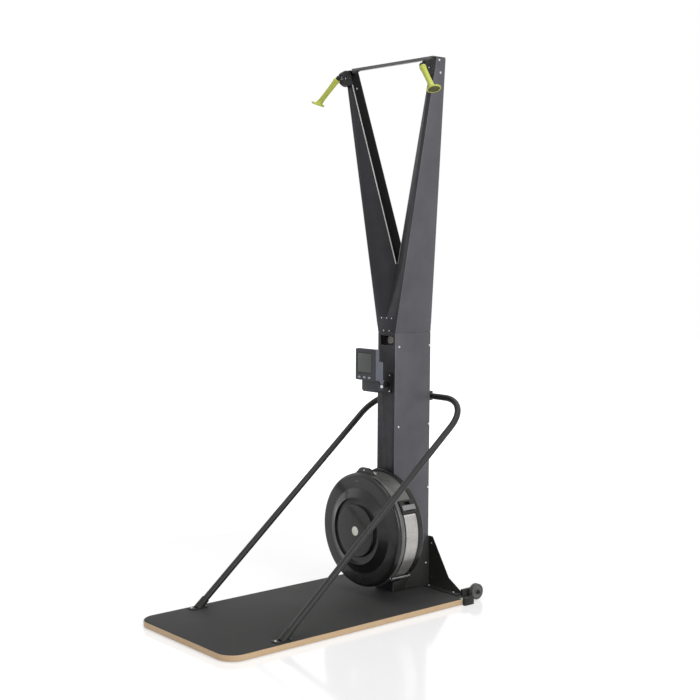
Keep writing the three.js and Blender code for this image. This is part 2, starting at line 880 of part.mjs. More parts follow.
function makeArm(name, side) {
  const bottom = seamHeight + seat;
  const top = armTop;
  const outerSection = (z) => {
    const x = armOuterX(z);
    return [
      [x - sheetAcross(), towerFront], [x, towerFront], [x, armRearY(z)], [x - sheetAcross(), armRearY(z)],
    ];
  };
  const outer = loft([bottom, top].map((z) => ({ z, outline: outerSection(z) })));
  part(`arm_outer_${name}`, onSide(side, outer), paintedPanel);

  const frontLevels = [junctionTop + seat, crotchHeight, top];
  const front = loft(frontLevels.map((z) => ({ z, outline: armFrontSection(z) })), [[1], [5]]);
  const opening = headPlace(slab(
    [-pulleyWidth / 2 - pulleySideGap, pulleyWidth / 2 + pulleySideGap],
    [0, pulleyRim + pulleyRimGap + overrun], [-pulleyRim, pulleyRim - pulleyRimGap * 2]));
  part(`arm_front_${name}`, onSide(side, cut(front, opening)), paintedDark);

  const rearLevels = [bottom, junctionTop, crotchHeight, top];
  const rear = loft(rearLevels.map((z) => ({ z, outline: armRearSection(z) })), [[0], [0], [0]]);
  part(`arm_rear_${name}`, onSide(side, rear), paintedDark);
}

function makeJunctionPlate() {
  const bottom = seamHeight + seat;
  const halfAt = (z) => armOuterX(z) - sheetAcross() - seat;
  const outline = [
    [-halfAt(bottom), bottom], [halfAt(bottom), bottom], [halfAt(junctionTop), junctionTop],
    [-halfAt(junctionTop), junctionTop],
  ];
  part("junction_plate", plateXZ(outline, [towerFront, towerFront + sheet]), paintedDark);
}

function makeCrossbar() {
  const bottom = overallHeight - crossbarThickness;
  const low = bottom - flareDrop;
  const topEnd = armInnerX(armTop) - seat;
  const lowEnd = armInnerX(low) - seat;
  const flareStart = lowEnd - flareLength;
  const outline = [
    [-topEnd, overallHeight], [-lowEnd, low], [-flareStart, bottom], [flareStart, bottom], [lowEnd, low],
    [topEnd, overallHeight],
  ];
  const front = towerFront + crossbarSetback;
  let bar = plateXZ(outline, [front, front + crossbarDepth]);
  for (const [, side] of sides) {
    const cap = slab(
      [topEnd - crossbarLap, armTopHalfWidth], [towerFront, towerFront + armTopDepth],
      [armTop + seat, armTop + seat + capThickness]);
    bar = join(bar, onSide(side, cap));
  }
  part("top_crossbar", bar, blackSteel);
}

// Heads

const exitTangent = new THREE.Vector3(0, -exitDownShare, exitForwardShare).multiplyScalar(pulleyTrack);
const exitPath = new THREE.Vector3(0, -exitForwardShare, -exitDownShare);
const exitPoint = exitTangent.clone().addScaledVector(exitPath, exitLength);
const stopCenter = exitPoint.clone().addScaledVector(exitPath, stopRadius + seat);
const handleAxis = new THREE.Vector3(handleOutShare, -handleForwardShare, -handleDownShare).normalize();
const reliefAxis = handleAxis.clone().applyAxisAngle(new THREE.Vector3(0, 1, 0), -armLean);
const cupRadius = Math.hypot(stopRadius - socketDepth + seat + gripRound, gripCollarRadius) + seat * 2;

function makeHead(name, side) {
  const half = housingWidth / 2;
  const slotHalf = pulleyWidth / 2 + pulleySideGap;
  const rear = headForward - seat;
  const disc = rodX(housingRadius, [-half, half], 0, 0);
  const tongue = slab([-half, half], [0, rear], [-housingTongueBottom, housingTongueTop]);
  const room = rodX(pulleyRim + pulleyRimGap, [-slotHalf, slotHalf], 0, 0);
  const back = slab(
    [-slotHalf, slotHalf], [0, rear + overrun],
    [-pulleyRim - pulleyRimGap, pulleyRim - pulleyRimGap * 2]);
  const behind = slab(
    grown([-half, half], overrun), [rear, rear + housingRadius], [-housingRadius * 2, housingRadius * 2]);
  const mouthEnd = exitPath.clone().multiplyScalar(exitLength + stopRadius * 2).add(exitTangent);
  const mouth = tube([exitTangent, mouthEnd], mouthRadius, smallSides);
  const cup = new THREE.SphereGeometry(cupRadius, roundSides, smallSides)
    .translate(stopCenter.x, stopCenter.y, stopCenter.z);
  const reliefEnd = stopCenter.clone().addScaledVector(reliefAxis, housingRadius * 2);
  const relief = tube([stopCenter, reliefEnd], gripCollarRadius + gripRelief, roundSides);
  const boltHole = rodX(boltRadius + seat, grown([-half, half], overrun), 0, 0, smallSides);
  const housing = cut(join(disc, tongue), room, back, behind, mouth, cup, relief, boltHole);
  part(`pulley_housing_${name}`, onSide(side, headPlace(housing)), blackPlastic);

  const groove = pulleyGroove / 2;
  const edge = pulleyWidth / 2;
  const bore = boltRadius + seat;
  const pulley = turnedX([
    [bore, -edge], [pulleyRim, -edge], [pulleyRim, -groove - seat], [pulleyRoot, -groove],
    [pulleyRoot, groove], [pulleyRim, groove + seat], [pulleyRim, edge], [bore, edge], [bore, -edge],
  ], roundSides);
  part(`top_pulley_${name}`, onSide(side, headPlace(pulley)), nylon);

  const boltEnd = half + seat;
  const shankEnd = boltEnd + boltHeadLength / 2;
  const shank = rodX(boltRadius, [-shankEnd, shankEnd], 0, 0, smallSides);
  const headOut = rodX(boltHeadRadius, [boltEnd, boltEnd + boltHeadLength], 0, 0, smallSides);
  const headIn = rodX(boltHeadRadius, [-boltEnd - boltHeadLength, -boltEnd], 0, 0, smallSides);
  part(`pulley_bolt_${name}`, onSide(side, headPlace(join(shank, headOut, headIn))), boltSteel);
}

function headToWorld(point) {
  const turn = new THREE.Matrix4().makeRotationY(armLean);
  return point.clone().applyMatrix4(turn).add(new THREE.Vector3(headX, headY, headHeight));
}

function makeHandle(name, side) {
  const center = headToWorld(stopCenter);
  const toHandle = new THREE.Quaternion().setFromUnitVectors(new THREE.Vector3(0, 1, 0), handleAxis);
  const place = (geometry) => geometry.applyQuaternion(toHandle).translate(center.x, center.y, center.z);
  const ball = new THREE.SphereGeometry(stopRadius, roundSides, smallSides);
  part(`cord_stop_${name}`, onSide(side, place(ball)), rubber);

  const start = stopRadius - socketDepth + seat;
  const end = start + gripLength;
  const coneStart = end - gripConeLength;
  const grip = turned([
    [0, start], [gripCollarRadius - gripRound, start], [gripCollarRadius, start + gripRound],
    [gripCollarRadius, start + gripCollarLength], [gripRadius, start + gripCollarLength * 2],
    [gripWaist, (start + end) / 2], [gripWaist, coneStart], [gripRadius, coneStart + gripConeLength / 2],
    [gripCollarRadius + gripRound, end - gripFlangeThickness / 2], [0, end - gripFlangeThickness / 2],
  ]);
  const outward = new THREE.Vector3(1, 0, 0).addScaledVector(handleAxis, -handleAxis.x).normalize();
  const shift = outward.applyQuaternion(toHandle.clone().invert()).multiplyScalar(gripFlangeOffset);
  const flange = rodY(gripFlangeRadius, shift.x, [end - gripFlangeThickness, end], shift.z);
  const socket = new THREE.SphereGeometry(stopRadius + seat * 2, roundSides, smallSides);
  part(`handle_${name}`, onSide(side, place(cut(join(grip, flange), socket))), limeGrip);
}

// Drive cords. Both wind onto their drums from the right, so that both drive the fan the same way.

function wrapPoints(center, radius, across, up, start, end) {
  const steps = Math.ceil(Math.abs(end - start) / (stepAngle * 3));
  const points = [];
  for (let i = 0; i <= steps; i += 1) {
    const angle = radians(start + ((end - start) * i) / steps);
    const point = across.clone().multiplyScalar(radius * Math.cos(angle));
    points.push(point.addScaledVector(up, radius * Math.sin(angle)).add(center));
  }
  return points;
}

function drumY(index) {
  return towerFront + drumSetback + index * drumPitch;
}

function makeDriveCord(name, side, index) {
  const forward = new THREE.Vector3(0, -1, 0);
  const up = new THREE.Vector3(0, 0, 1);
  const startAngle = (Math.asin(exitForwardShare) * halfTurn) / Math.PI;
  const overPulley = wrapPoints(new THREE.Vector3(), pulleyTrack, forward, up, startAngle, halfTurn);
  const exit = exitPoint.clone().addScaledVector(exitPath, -seat);
  const top = [exit, ...overPulley].map(headToWorld);
  const sideways = new THREE.Vector3(1, 0, 0);
  const lean = (armLean * halfTurn) / Math.PI;
  const idler = new THREE.Vector3(idlerX, idlerY, idlerHeight);
  const roundIdler = wrapPoints(idler, idlerTrack, sideways, up, halfTurn - lean, halfTurn);
  const drum = new THREE.Vector3(0, drumY(index), fanHeight);
  const roundDrum = wrapPoints(drum, drumTrack, sideways, up, 0, -halfTurn);
  const mirror = new THREE.Vector3(side, 1, 1);
  const upper = [...top, ...roundIdler].map((point) => point.multiply(mirror));
  part(`drive_cord_${name}`, tube([...upper, ...roundDrum], cordRadius, cordSides), cordBlack);
}

function makeDrum(name, index) {
  const middle = drumY(index);
  const edge = drumWidth / 2;
  const groove = drumGroove / 2;
  const drum = turned([
    [shaftBore, middle - edge], [drumRim, middle - edge], [drumRim, middle - groove],
    [drumRoot, middle - groove], [drumRoot, middle + groove], [drumRim, middle + groove],
    [drumRim, middle + edge], [shaftBore, middle + edge], [shaftBore, middle - edge],
  ]);
  part(`cord_drum_${name}`, drum.translate(0, 0, fanHeight), nylon);
}

function makeIdler(name, side) {
  const edge = idlerWidth / 2;
  const groove = idlerGroove / 2;
  const bore = idlerPinRadius + seat;
  const idler = turned([
    [bore, -edge], [idlerRim, -edge], [idlerRim, -groove - seat], [idlerRoot, -groove],
    [idlerRoot, groove], [idlerRim, groove + seat], [idlerRim, edge], [bore, edge], [bore, -edge],
  ]);
  part(`idler_${name}`, onSide(side, idler.translate(idlerX, idlerY, idlerHeight)), nylon);
}

function makeIdlerBracket() {
  const plateFront = idlerY + idlerWidth / 2 + seat;
  const plateRear = plateFront + idlerPlateThickness;
  const level = [idlerHeight - idlerPlateHeight / 2, seamHeight - seat * 2];
  let body = slab([-innerHalf, innerHalf], [plateFront, plateRear], level);
  for (const [, side] of sides) {
    const tab = slab([innerHalf - sheet, innerHalf], [plateFront, plateFront + idlerPlateFlange], level);
    const pinFront = idlerY - idlerWidth / 2 - seat - sheet;
    const pin = rodY(idlerPinRadius, idlerX, [pinFront, plateRear], idlerHeight, smallSides);
    const cap = rodY(idlerPinRadius * 2, idlerX, [pinFront, pinFront + sheet], idlerHeight, smallSides);
    body = join(body, onSide(side, tab), onSide(side, pin), onSide(side, cap));
  }
  part("idler_bracket", body, boltSteel);
}

function makeReturnCord() {
  const y = towerFront + returnCordSetback;
  const low = new THREE.Vector3(returnTrack, y, fanHeight);
  const overPost = wrapPoints(
    new THREE.Vector3(0, y, cordPostHeight), returnTrack, new THREE.Vector3(1, 0, 0),
    new THREE.Vector3(0, 0, 1), 0, halfTurn);
  const route = [low, ...overPost, new THREE.Vector3(-returnTrack, y, fanHeight)];
  part("return_cord", tube(route, returnCordRadius, cordSides), cordBlack);
}

// Shaft, bearings and rotor

function makeBearing(name, front) {
  const ring = turned(ringProfile(shaftBore, bearingRadius, front, front + bearingWidth));
  part(name, ring.translate(0, 0, fanHeight), boltSteel);
}

function makeShaft() {
  const rear = rearBearingFront + bearingWidth;
  part("fan_shaft", rodY(shaftRadius, 0, [shaftFront, rear], fanHeight), boltSteel);
  makeBearing("bearing_front", caseBack - hubLength + sheet);
  makeBearing("bearing_rear", rearBearingFront);
}

function makeRotor() {
  let rotor = turned([
    [shaftBore, rotorFront], [rotorHubRadius, rotorFront], [rotorHubRadius, rotorPlateFront],
    [rotorRadius - rotorRimWidth, rotorPlateFront], [rotorRadius - rotorRimWidth, rotorRimFront],
    [rotorRadius, rotorRimFront], [rotorRadius, rotorRimRear], [rotorRadius - rotorRimWidth, rotorRimRear],
    [rotorRadius - rotorRimWidth, rotorPlateFront + rotorPlateThickness],
    [rotorHubRadius, rotorPlateFront + rotorPlateThickness], [rotorHubRadius, rotorRear],
    [shaftBore, rotorRear], [shaftBore, rotorFront],
  ], caseSides / 2);
  const bladeOuter = rotorRadius - rotorRimWidth / 2;
  for (let i = 0; i < bladeCount; i += 1) {
    const blade = slab(
      [bladeInner, bladeOuter], [bladeFront, rotorPlateFront + rotorPlateThickness / 2],
      [-bladeThickness / 2, bladeThickness / 2]);
    rotor = join(rotor, blade.rotateY((i * 2 * Math.PI) / bladeCount));
  }
  part("fan_rotor", rotor.translate(0, 0, fanHeight), castIron);
}

// Fan case

function caseTabs(rise, y) {
  const small = tabAngles.map((angle) => slab(
    [caseRadius - caseWall / 2, caseRadius + caseTabRise], y, [-caseTabWidth / 2, caseTabWidth / 2],
  ).rotateY(-radians(angle)).translate(0, 0, fanHeight));
  const top = arcStrip(
    caseRadius - caseWall / 2, caseRadius + rise, quarterTurn - topTabAngle, quarterTurn + topTabAngle, y);
  return [top, ...small];
}

function makeFrontShell() {
  const front = caseFront;
  const rear = caseFrontRear;
  const rimFlat = caseRadius - rimRound;
  const rimTurn = corner(rimFlat, front + rimRound, rimRound, threeQuarterTurn, fullTurn);
  const innerTurn = corner(rimFlat, front + rimRound, rimRound - caseWall, fullTurn, threeQuarterTurn);
  const grooveOuter = bossRadius - discEdge;
  const grooveBack = grooveFront + caseWall;
  const discInner = discRadius - caseWall;
  const shell = turned([
    [0, discFront], [discRadius - discEdge, discFront], [discRadius, discFront + discEdge],
    [discRadius, grooveFront], [grooveOuter, grooveFront], [grooveOuter, bossFront + discEdge],
    [bossRadius, bossFront], [coneRadius, front], ...rimTurn, [caseRadius, rear],
    [caseInner, rear], ...innerTurn, [coneRadius, front + caseWall],
    [bossRadius + discEdge, bossFront + caseWall * 2], [bossRadius, grooveBack], [discInner, grooveBack],
    [discInner, discFront + discEdge + caseWall], [discInner - discEdge, discFront + caseWall],
    [0, discFront + caseWall],
  ], caseSides).translate(0, 0, fanHeight);
  const tabs = caseTabs(topTabRise, [rear - caseTabDepth, rear]);
  part("fan_case_front", join(shell, ...tabs), blackPlastic);
}

function makeBackShell() {
  const rear = caseBack;
  const wallFront = rear - caseWall;
  const hubRadius = bearingBore + hubWall;
  const shell = turned([
    [bearingBore, rear - hubLength], [hubRadius, rear - hubLength], [hubRadius, wallFront],
    [caseInner, wallFront], [caseInner, caseBackFront], [caseRadius, caseBackFront],
    [caseRadius, rear], [bearingBore, rear], [bearingBore, rear - hubLength],
  ], caseSides).translate(0, 0, fanHeight);
  const tabs = caseTabs(rearTabRise, [caseBackFront, caseBackFront + caseTabDepth]);
  part("fan_case_back", join(shell, ...tabs), blackPlastic);
}

function makeScreens() {
  const lap = [caseFrontRear - screenLap, caseBackFront + screenLap];
  const band = arcStrip(screenInner, screenOuter, bandStartAngle, bandEndAngle, lap);
  part("perforated_band", band, brightSteel);
  const wrap = arcStrip(screenInner, screenOuter, wrapStartAngle, bandStartAngle - arcGapAngle, lap);
  part("top_wrap", wrap, blackPlastic);

  const boxStart = bandEndAngle - fullTurn + arcGapAngle;
  const boxEnd = wrapStartAngle - arcGapAngle;
  const strip = arcStrip(screenInner, screenOuter, boxStart, boxEnd, lap);
  const box = arcStrip(
    screenOuter - screenThickness / 2, screenOuter + damperRise, boxStart + damperInsetAngle,
    boxEnd - damperInsetAngle, [caseFrontRear + seat, caseBackFront - seat]);
  const slot = arcStrip(
    screenInner - overrun, screenOuter + damperRise + overrun, slotStartAngle, slotEndAngle,
    [caseFrontRear + slotMargin, caseBackFront - slotMargin]);
  part("damper_housing", cut(join(strip, box), slot), blackPlastic);

  const shutterOuter = screenInner - seat;
  const shutter = arcStrip(
    shutterOuter - shutterThickness, shutterOuter, shutterStartAngle, shutterEndAngle,
    [caseFrontRear + shutterMargin, caseBackFront - shutterMargin]);
  const leverEndAngle = leverStartAngle + leverSweepAngle;
  const stem = arcStrip(
    shutterOuter - shutterThickness / 2, shutterOuter + leverRise, leverStartAngle, leverEndAngle,
    [caseFrontRear + leverMargin, caseBackFront - leverMargin]);
  part("damper_lever", join(shutter, stem), blackPlastic);
}

// Monitor

function makeMonitor() {
  const left = monitorCenterX - monitorWidth / 2;
  const right = monitorCenterX + monitorWidth / 2;
  const upper = plateXZ(
    roundedBox([left, right], [monitorBottom, monitorTop], monitorEdge),
    [monitorFront, monitorFront + monitorUpperDepth]);
  const lower = plateXZ(
    roundedBox([left, right], [monitorBottom, monitorStep], monitorEdge),
    [monitorFront + monitorUpperDepth / 2, monitorFront + monitorLowerDepth]);
  const pod = plateXZ(
    roundedBox([-podHalfWidth, podHalfWidth], [podBottom, podTop], podCorner), [podFront, podRear]);
  const slot = slab(
    [-knuckleHalfWidth - knuckleGap, knuckleHalfWidth + knuckleGap],
    [pivotY - knuckleRadius - knuckleGap, podRear + overrun],
    [podBottom - overrun, pivotHeight + knuckleRadius + knuckleGap]);
  const pivotHole = rodX(
    pivotRadius + seat, grown([-podHalfWidth, podHalfWidth], overrun), pivotY, pivotHeight, smallSides);
  const screenRoom = plateXZ(
    roundedBox(
      [screenCenterX - screenWidth / 2, screenCenterX + screenWidth / 2],
      [screenCenterZ - screenHeight / 2, screenCenterZ + screenHeight / 2], monitorEdge),
    [monitorFront - overrun, monitorFront + screenDepth]);
  const buttonRooms = buttonPlaces().map((x) => plateXZ(
    roundedBox(
      grown([x - buttonWidth / 2, x + buttonWidth / 2], buttonGap),
      grown([buttonHeightZ - buttonHeight / 2, buttonHeightZ + buttonHeight / 2], buttonGap),
      buttonRound),
    [monitorFront - overrun, monitorFront + buttonDepth]));
  const body = cut(join(upper, lower, pod), slot, pivotHole, screenRoom, ...buttonRooms);
  part("monitor_case", body, blackPlastic);

  const pane = plateXZ(
    roundedBox(
      grown([screenCenterX - screenWidth / 2, screenCenterX + screenWidth / 2], -seat),
      grown([screenCenterZ - screenHeight / 2, screenCenterZ + screenHeight / 2], -seat), monitorEdge),
    [monitorFront + screenDepth - seat - screenPane, monitorFront + screenDepth - seat]);
  part("monitor_screen", pane, screenGray);

  buttonPlaces().forEach((x, index) => {
    const button = plateXZ(
      roundedBox(
        [x - buttonWidth / 2, x + buttonWidth / 2],
        [buttonHeightZ - buttonHeight / 2, buttonHeightZ + buttonHeight / 2], buttonRound),
      [monitorFront - buttonProud, monitorFront + buttonDepth - buttonTravel - seat]);
    part(`monitor_button_${index + 1}`, button, buttonGray);
  });

  const boltEnd = podHalfWidth + seat;
  const shank = rodX(pivotRadius, [-boltEnd - seat, boltEnd + seat], pivotY, pivotHeight, smallSides);
  const headRight = rodX(
    pivotHeadRadius, [boltEnd, boltEnd + pivotHeadLength], pivotY, pivotHeight, smallSides);
  const headLeft = rodX(
    pivotHeadRadius, [-boltEnd - pivotHeadLength, -boltEnd], pivotY, pivotHeight, smallSides);
  part("monitor_pivot", join(shank, headRight, headLeft), boltSteel);
}

function buttonPlaces() {
  return [-1, 0, 1].map((step) => screenCenterX + step * buttonPitch);
}

function makeMonitorArm() {
  const plateRear = towerFront - seat;
  const plate = slab(
    [-armPlateHalfWidth, armPlateHalfWidth], [plateRear - armPlateThickness, plateRear],
    [armPlateBottom, armPlateTop]);
  const bar = slab(
    [-knuckleHalfWidth, knuckleHalfWidth], [pivotY, plateRear - armPlateThickness / 2],
    [pivotHeight - armBarHeight / 2, pivotHeight + armBarHeight / 2]);
  const knuckle = rodX(knuckleRadius, [-knuckleHalfWidth, knuckleHalfWidth], pivotY, pivotHeight);
  const bore = rodX(
    pivotRadius + seat, grown([-knuckleHalfWidth, knuckleHalfWidth], overrun), pivotY, pivotHeight,
    smallSides);
  part("monitor_arm", cut(join(plate, bar, knuckle), bore), blackPlastic);
}

makeDeck();
makeCrossMember();
makeBrace();
makeTower();
makeJunctionPlate();
makeCrossbar();
makeIdlerBracket();
makeShaft();
makeRotor();
makeFrontShell();
makeBackShell();
makeScreens();
makeMonitor();
makeMonitorArm();
makeReturnCord();
sides.forEach(([name, side], index) => {
  makeWheel(name, side);
  makeGusset(name, side);
  makeBraceFoot(name, side);
  makeArm(name, side);
  makeHead(name, side);
  makeHandle(name, side);
  makeIdler(name, side);
  makeDrum(name, index);
  makeDriveCord(name, side, index);
});

export default group;
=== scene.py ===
import json
import math

import bmesh
import bpy
from mathutils import Matrix, Quaternion, Vector

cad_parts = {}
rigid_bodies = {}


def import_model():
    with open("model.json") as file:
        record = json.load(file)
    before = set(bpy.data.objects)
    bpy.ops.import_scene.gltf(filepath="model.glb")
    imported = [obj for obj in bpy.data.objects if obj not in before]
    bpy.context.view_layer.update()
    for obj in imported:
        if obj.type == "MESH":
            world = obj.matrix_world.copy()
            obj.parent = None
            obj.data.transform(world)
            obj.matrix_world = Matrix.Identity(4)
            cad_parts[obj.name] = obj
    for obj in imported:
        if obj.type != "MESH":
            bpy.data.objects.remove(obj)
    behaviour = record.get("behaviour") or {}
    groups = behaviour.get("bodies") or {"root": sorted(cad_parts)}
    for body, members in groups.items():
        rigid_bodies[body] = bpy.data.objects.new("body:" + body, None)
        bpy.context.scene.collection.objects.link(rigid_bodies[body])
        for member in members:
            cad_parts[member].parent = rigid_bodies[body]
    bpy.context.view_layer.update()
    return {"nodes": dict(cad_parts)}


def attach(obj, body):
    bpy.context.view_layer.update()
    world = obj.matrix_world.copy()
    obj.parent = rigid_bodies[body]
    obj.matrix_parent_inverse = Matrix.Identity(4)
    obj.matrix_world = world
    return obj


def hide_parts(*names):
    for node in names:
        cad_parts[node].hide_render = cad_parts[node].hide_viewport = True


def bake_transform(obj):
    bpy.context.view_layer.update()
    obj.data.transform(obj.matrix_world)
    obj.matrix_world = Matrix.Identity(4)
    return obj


# Ski trainer machine: camera, light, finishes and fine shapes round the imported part.
# Metres. X is the user's right, Y points from the user to the tower, Z is up from the floor.
for started in list(bpy.data.objects):
    bpy.data.objects.remove(started)
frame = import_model()
print("frame loaded:", len(frame["nodes"]), "nodes")

sideWay, deepWay, upWay, front = (1, 0, 0), (0, 1, 0), (0, 0, 1), (0, -1, 0)
bothSides = (("left", -1), ("right", 1))
fanAxis = Vector((0, 0, 0.292))


def linked(name, data):
    obj = bpy.data.objects.new(name, data)
    bpy.context.scene.collection.objects.link(obj)
    return obj


# camera

view = {"place": (3.684, -3.018, 1.402), "azimuth": 49.24, "pitch": 4.52, "roll": 0.39, "lens": 63.96, "sensor": 36.0,
        "farthest": 100}


def makeCamera():
    yaw, pitch, roll = (math.radians(view[key]) for key in ("azimuth", "pitch", "roll"))
    back = Vector((math.sin(yaw) * math.cos(pitch), -math.cos(yaw) * math.cos(pitch), math.sin(pitch)))
    level = (-back).cross(Vector(upWay)).normalized()
    rise = level.cross(-back)
    right = level * math.cos(roll) + rise * math.sin(roll)
    up = rise * math.cos(roll) - level * math.sin(roll)
    data = bpy.data.cameras.new("photoCamera")
    data.lens, data.sensor_width, data.clip_end = view["lens"], view["sensor"], view["farthest"]
    camera = linked("photoCamera", data)
    camera.matrix_world = Matrix.Translation(view["place"]) @ Matrix((right, up, back)).transposed().to_4x4()
    bpy.context.scene.camera = camera


makeCamera()
print("camera placed")

# mesh tools: a shape is a pair of points and faces, a look is the names of its finishes


def softShade(mesh, sharp=32):
    mesh.polygons.foreach_set("use_smooth", [True] * len(mesh.polygons))
    mesh.set_sharp_from_angle(angle=math.radians(sharp))


def coat(mesh, look):
    for finish in look.split():
        mesh.materials.append(finishes[finish])


def pointOutward(mesh):
    shell = bmesh.new()
    shell.from_mesh(mesh)
    bmesh.ops.remove_doubles(shell, verts=shell.verts, dist=1e-6)
    bmesh.ops.recalc_face_normals(shell, faces=shell.faces)
    shell.to_mesh(mesh)
    shell.free()


def shaped(name, shape, look, sharp=32, outward=True, faceFinish=None):
    mesh = bpy.data.meshes.new(name)
    mesh.from_pydata([tuple(point) for point in shape[0]], [], shape[1])
    if faceFinish:
        mesh.polygons.foreach_set("material_index", faceFinish)
    if outward:
        pointOutward(mesh)
    coat(mesh, look)
    softShade(mesh, sharp)
    return linked(name, mesh)


# The evaluated shape becomes the object's own plain mesh.
def plain(obj, sharp=32):
    graph = bpy.context.evaluated_depsgraph_get()
    done = obj.evaluated_get(graph)
    mesh = bpy.data.meshes.new_from_object(done, preserve_all_data_layers=True, depsgraph=graph)
    mesh.name = obj.name
    obj.modifiers.clear()
    obj.data = mesh
    softShade(mesh, sharp)
    return obj


def bevelled(obj, width, steps=2, angle=35, edgeFinish=False):
    bevel = obj.modifiers.new("roundedEdges", "BEVEL")
    bevel.width = width
    bevel.segments = steps
    bevel.limit_method = "ANGLE"
    bevel.angle_limit = math.radians(angle)
    bevel.miter_outer = "MITER_ARC"
    bevel.use_clamp_overlap = True
    bevel.harden_normals = False
    if edgeFinish:
        bevel.material = 1
    return plain(obj, 40)  # an edge sharper than this, in degrees, stays a sharp one


# A copy of a CAD node with its loose triangles merged into flat faces.
def nodeCopy(node, name, look):
    shell = bmesh.new()
    shell.from_mesh(frame["nodes"][node].data)
    bmesh.ops.remove_doubles(shell, verts=shell.verts, dist=1e-5)
    bmesh.ops.dissolve_limit(shell, angle_limit=math.radians(0.4), verts=shell.verts, edges=shell.edges)
    mesh = bpy.data.meshes.new(name)
    shell.to_mesh(mesh)
    shell.free()
    mesh.materials.clear()
    coat(mesh, look)
    return linked(name, mesh)


def settle(obj, body, slotName, *nodes):
    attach(obj, body)
    if nodes:
        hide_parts(*nodes)
    return obj


# A shape made a finished piece: bevel is (width, steps, angle, edgeFinish), as far as they are needed.
def made(name, shape, look, body, slotName, *nodes, bevel=(), **shading):
    obj = shaped(name, shape, look, **shading)
    if bevel:
        bevelled(obj, *bevel)
    return settle(obj, body, slotName, *nodes)


def carved(obj, cutters, union=False):
    for cutter in cutters:
        tool = obj.modifiers.new("carve", "BOOLEAN")
        tool.operation = "UNION" if union else "DIFFERENCE"
        tool.solver = "EXACT"
        tool.object = cutter
    plain(obj)
    for cutter in cutters:
        bpy.data.objects.remove(cutter)
    return obj


def sidewise(points, side):
    return [Vector((side * point[0], point[1], point[2])) for point in points]


def sided(shape, side):
    return sidewise(shape[0], side), shape[1]


# Rings of points joined into a skin. A ring of one point is a pole.
def skin(rings, closed=False):
    points, faces, starts = [], [], []
    for ring in rings:
        starts.append(len(points))
        points.extend(ring)
    pairs = list(zip(range(len(rings) - 1), range(1, len(rings))))
    if closed:
        pairs.append((len(rings) - 1, 0))
    for low, high in pairs:
        a, b = len(rings[low]), len(rings[high])
        count = max(a, b)
        for i in range(count):
            j = (i + 1) % count
            corners = [starts[low] + i % a, starts[low] + j % a, starts[high] + j % b, starts[high] + i % b]
            face = [c for k, c in enumerate(corners) if c not in corners[:k]]
            if len(face) > 2:
                faces.append(face)
    return points, faces


# Rings of four corners joined into a solid, both ends shut.
def capped(rings):
    points, faces = skin(rings)
    last = len(points)
    return points, faces + [[0, 1, 2, 3], [last - 4, last - 3, last - 2, last - 1]]


def across(axis):
    axis = Vector(axis).normalized()
    helper = Vector(upWay) if abs(axis.z) < 0.9 else Vector(sideWay)
    first = axis.cross(helper).normalized()
    return first, axis.cross(first).normalized(), axis


def circle(centre, first, second, radius, sides):
    turns = [2 * math.pi * i / sides for i in range(sides)]
    return [centre + (first * math.cos(t) + second * math.sin(t)) * radius for t in turns]


# A turned shape: (radius, place along the axis) pairs. Pairs at radius 0 are poles.
def turned(profile, origin, axis, sides=64, closed=False):
    first, second, along = across(axis)
    rings = []
    for radius, place in profile:
        centre = Vector(origin) + along * place
        rings.append([centre] if radius < 1e-7 else circle(centre, first, second, radius, sides))
    return skin(rings, closed)


def rod(radius, start, end, origin, axis, sides):
    return turned([(0, start), (radius, start), (radius, end), (0, end)], origin, axis, sides)


def ball(radius, origin, axis, steps, sides):
    turns = [math.pi * k / steps for k in range(steps + 1)]
    return turned([(radius * math.sin(t), -radius * math.cos(t)) for t in turns], origin, axis, sides)


# The other half of a profile whose ends are alike.
def evenEnds(profile):
    return profile + [(radius, -place) for radius, place in reversed(profile)]


def roundedRim(radius, half, edge, first=1, steps=6):
    turns = [math.pi / 2 * k / steps for k in range(first, steps + 1)]
    return [(radius - edge + edge * math.sin(t), -half + edge - edge * math.cos(t)) for t in turns]


# The arc that rounds off the corner between two straight lines.
def roundCorner(before, here, after, radius, steps):
    back, ahead = (before - here).normalized(), (after - here).normalized()
    half = math.acos(max(-1, min(1, back.dot(ahead)))) / 2
    centre = here + (back + ahead).normalized() * (radius / math.sin(half))
    start = here + back * (radius / math.tan(half)) - centre
    end = here + ahead * (radius / math.tan(half)) - centre
    sweep = math.acos(max(-1, min(1, start.normalized().dot(end.normalized()))))
    out = []
    for k in range(steps + 1):
        turn = start * math.sin((1 - k / steps) * sweep) + end * math.sin(k / steps * sweep)
        out.append(centre + turn / math.sin(sweep))
    return out


# Corners of a flat line rounded off. A corner is (x, y) or (x, y, radius).
def softCorners(corners, steps=5, closed=False):
    spots, out = [Vector(corner[:2]) for corner in corners], []
    for i, corner in enumerate(corners):
        if len(corner) < 3 or not corner[2] or (not closed and i in (0, len(corners) - 1)):
            out.append(spots[i])
        else:
            out += roundCorner(spots[i - 1], spots[i], spots[(i + 1) % len(corners)], corner[2], steps)
    return out


def rectangle(left, right, low, high, corner=0, steps=8):
    corners = [(left, low, corner), (right, low, corner), (right, high, corner), (left, high, corner)]
    return softCorners(corners, steps, closed=True)


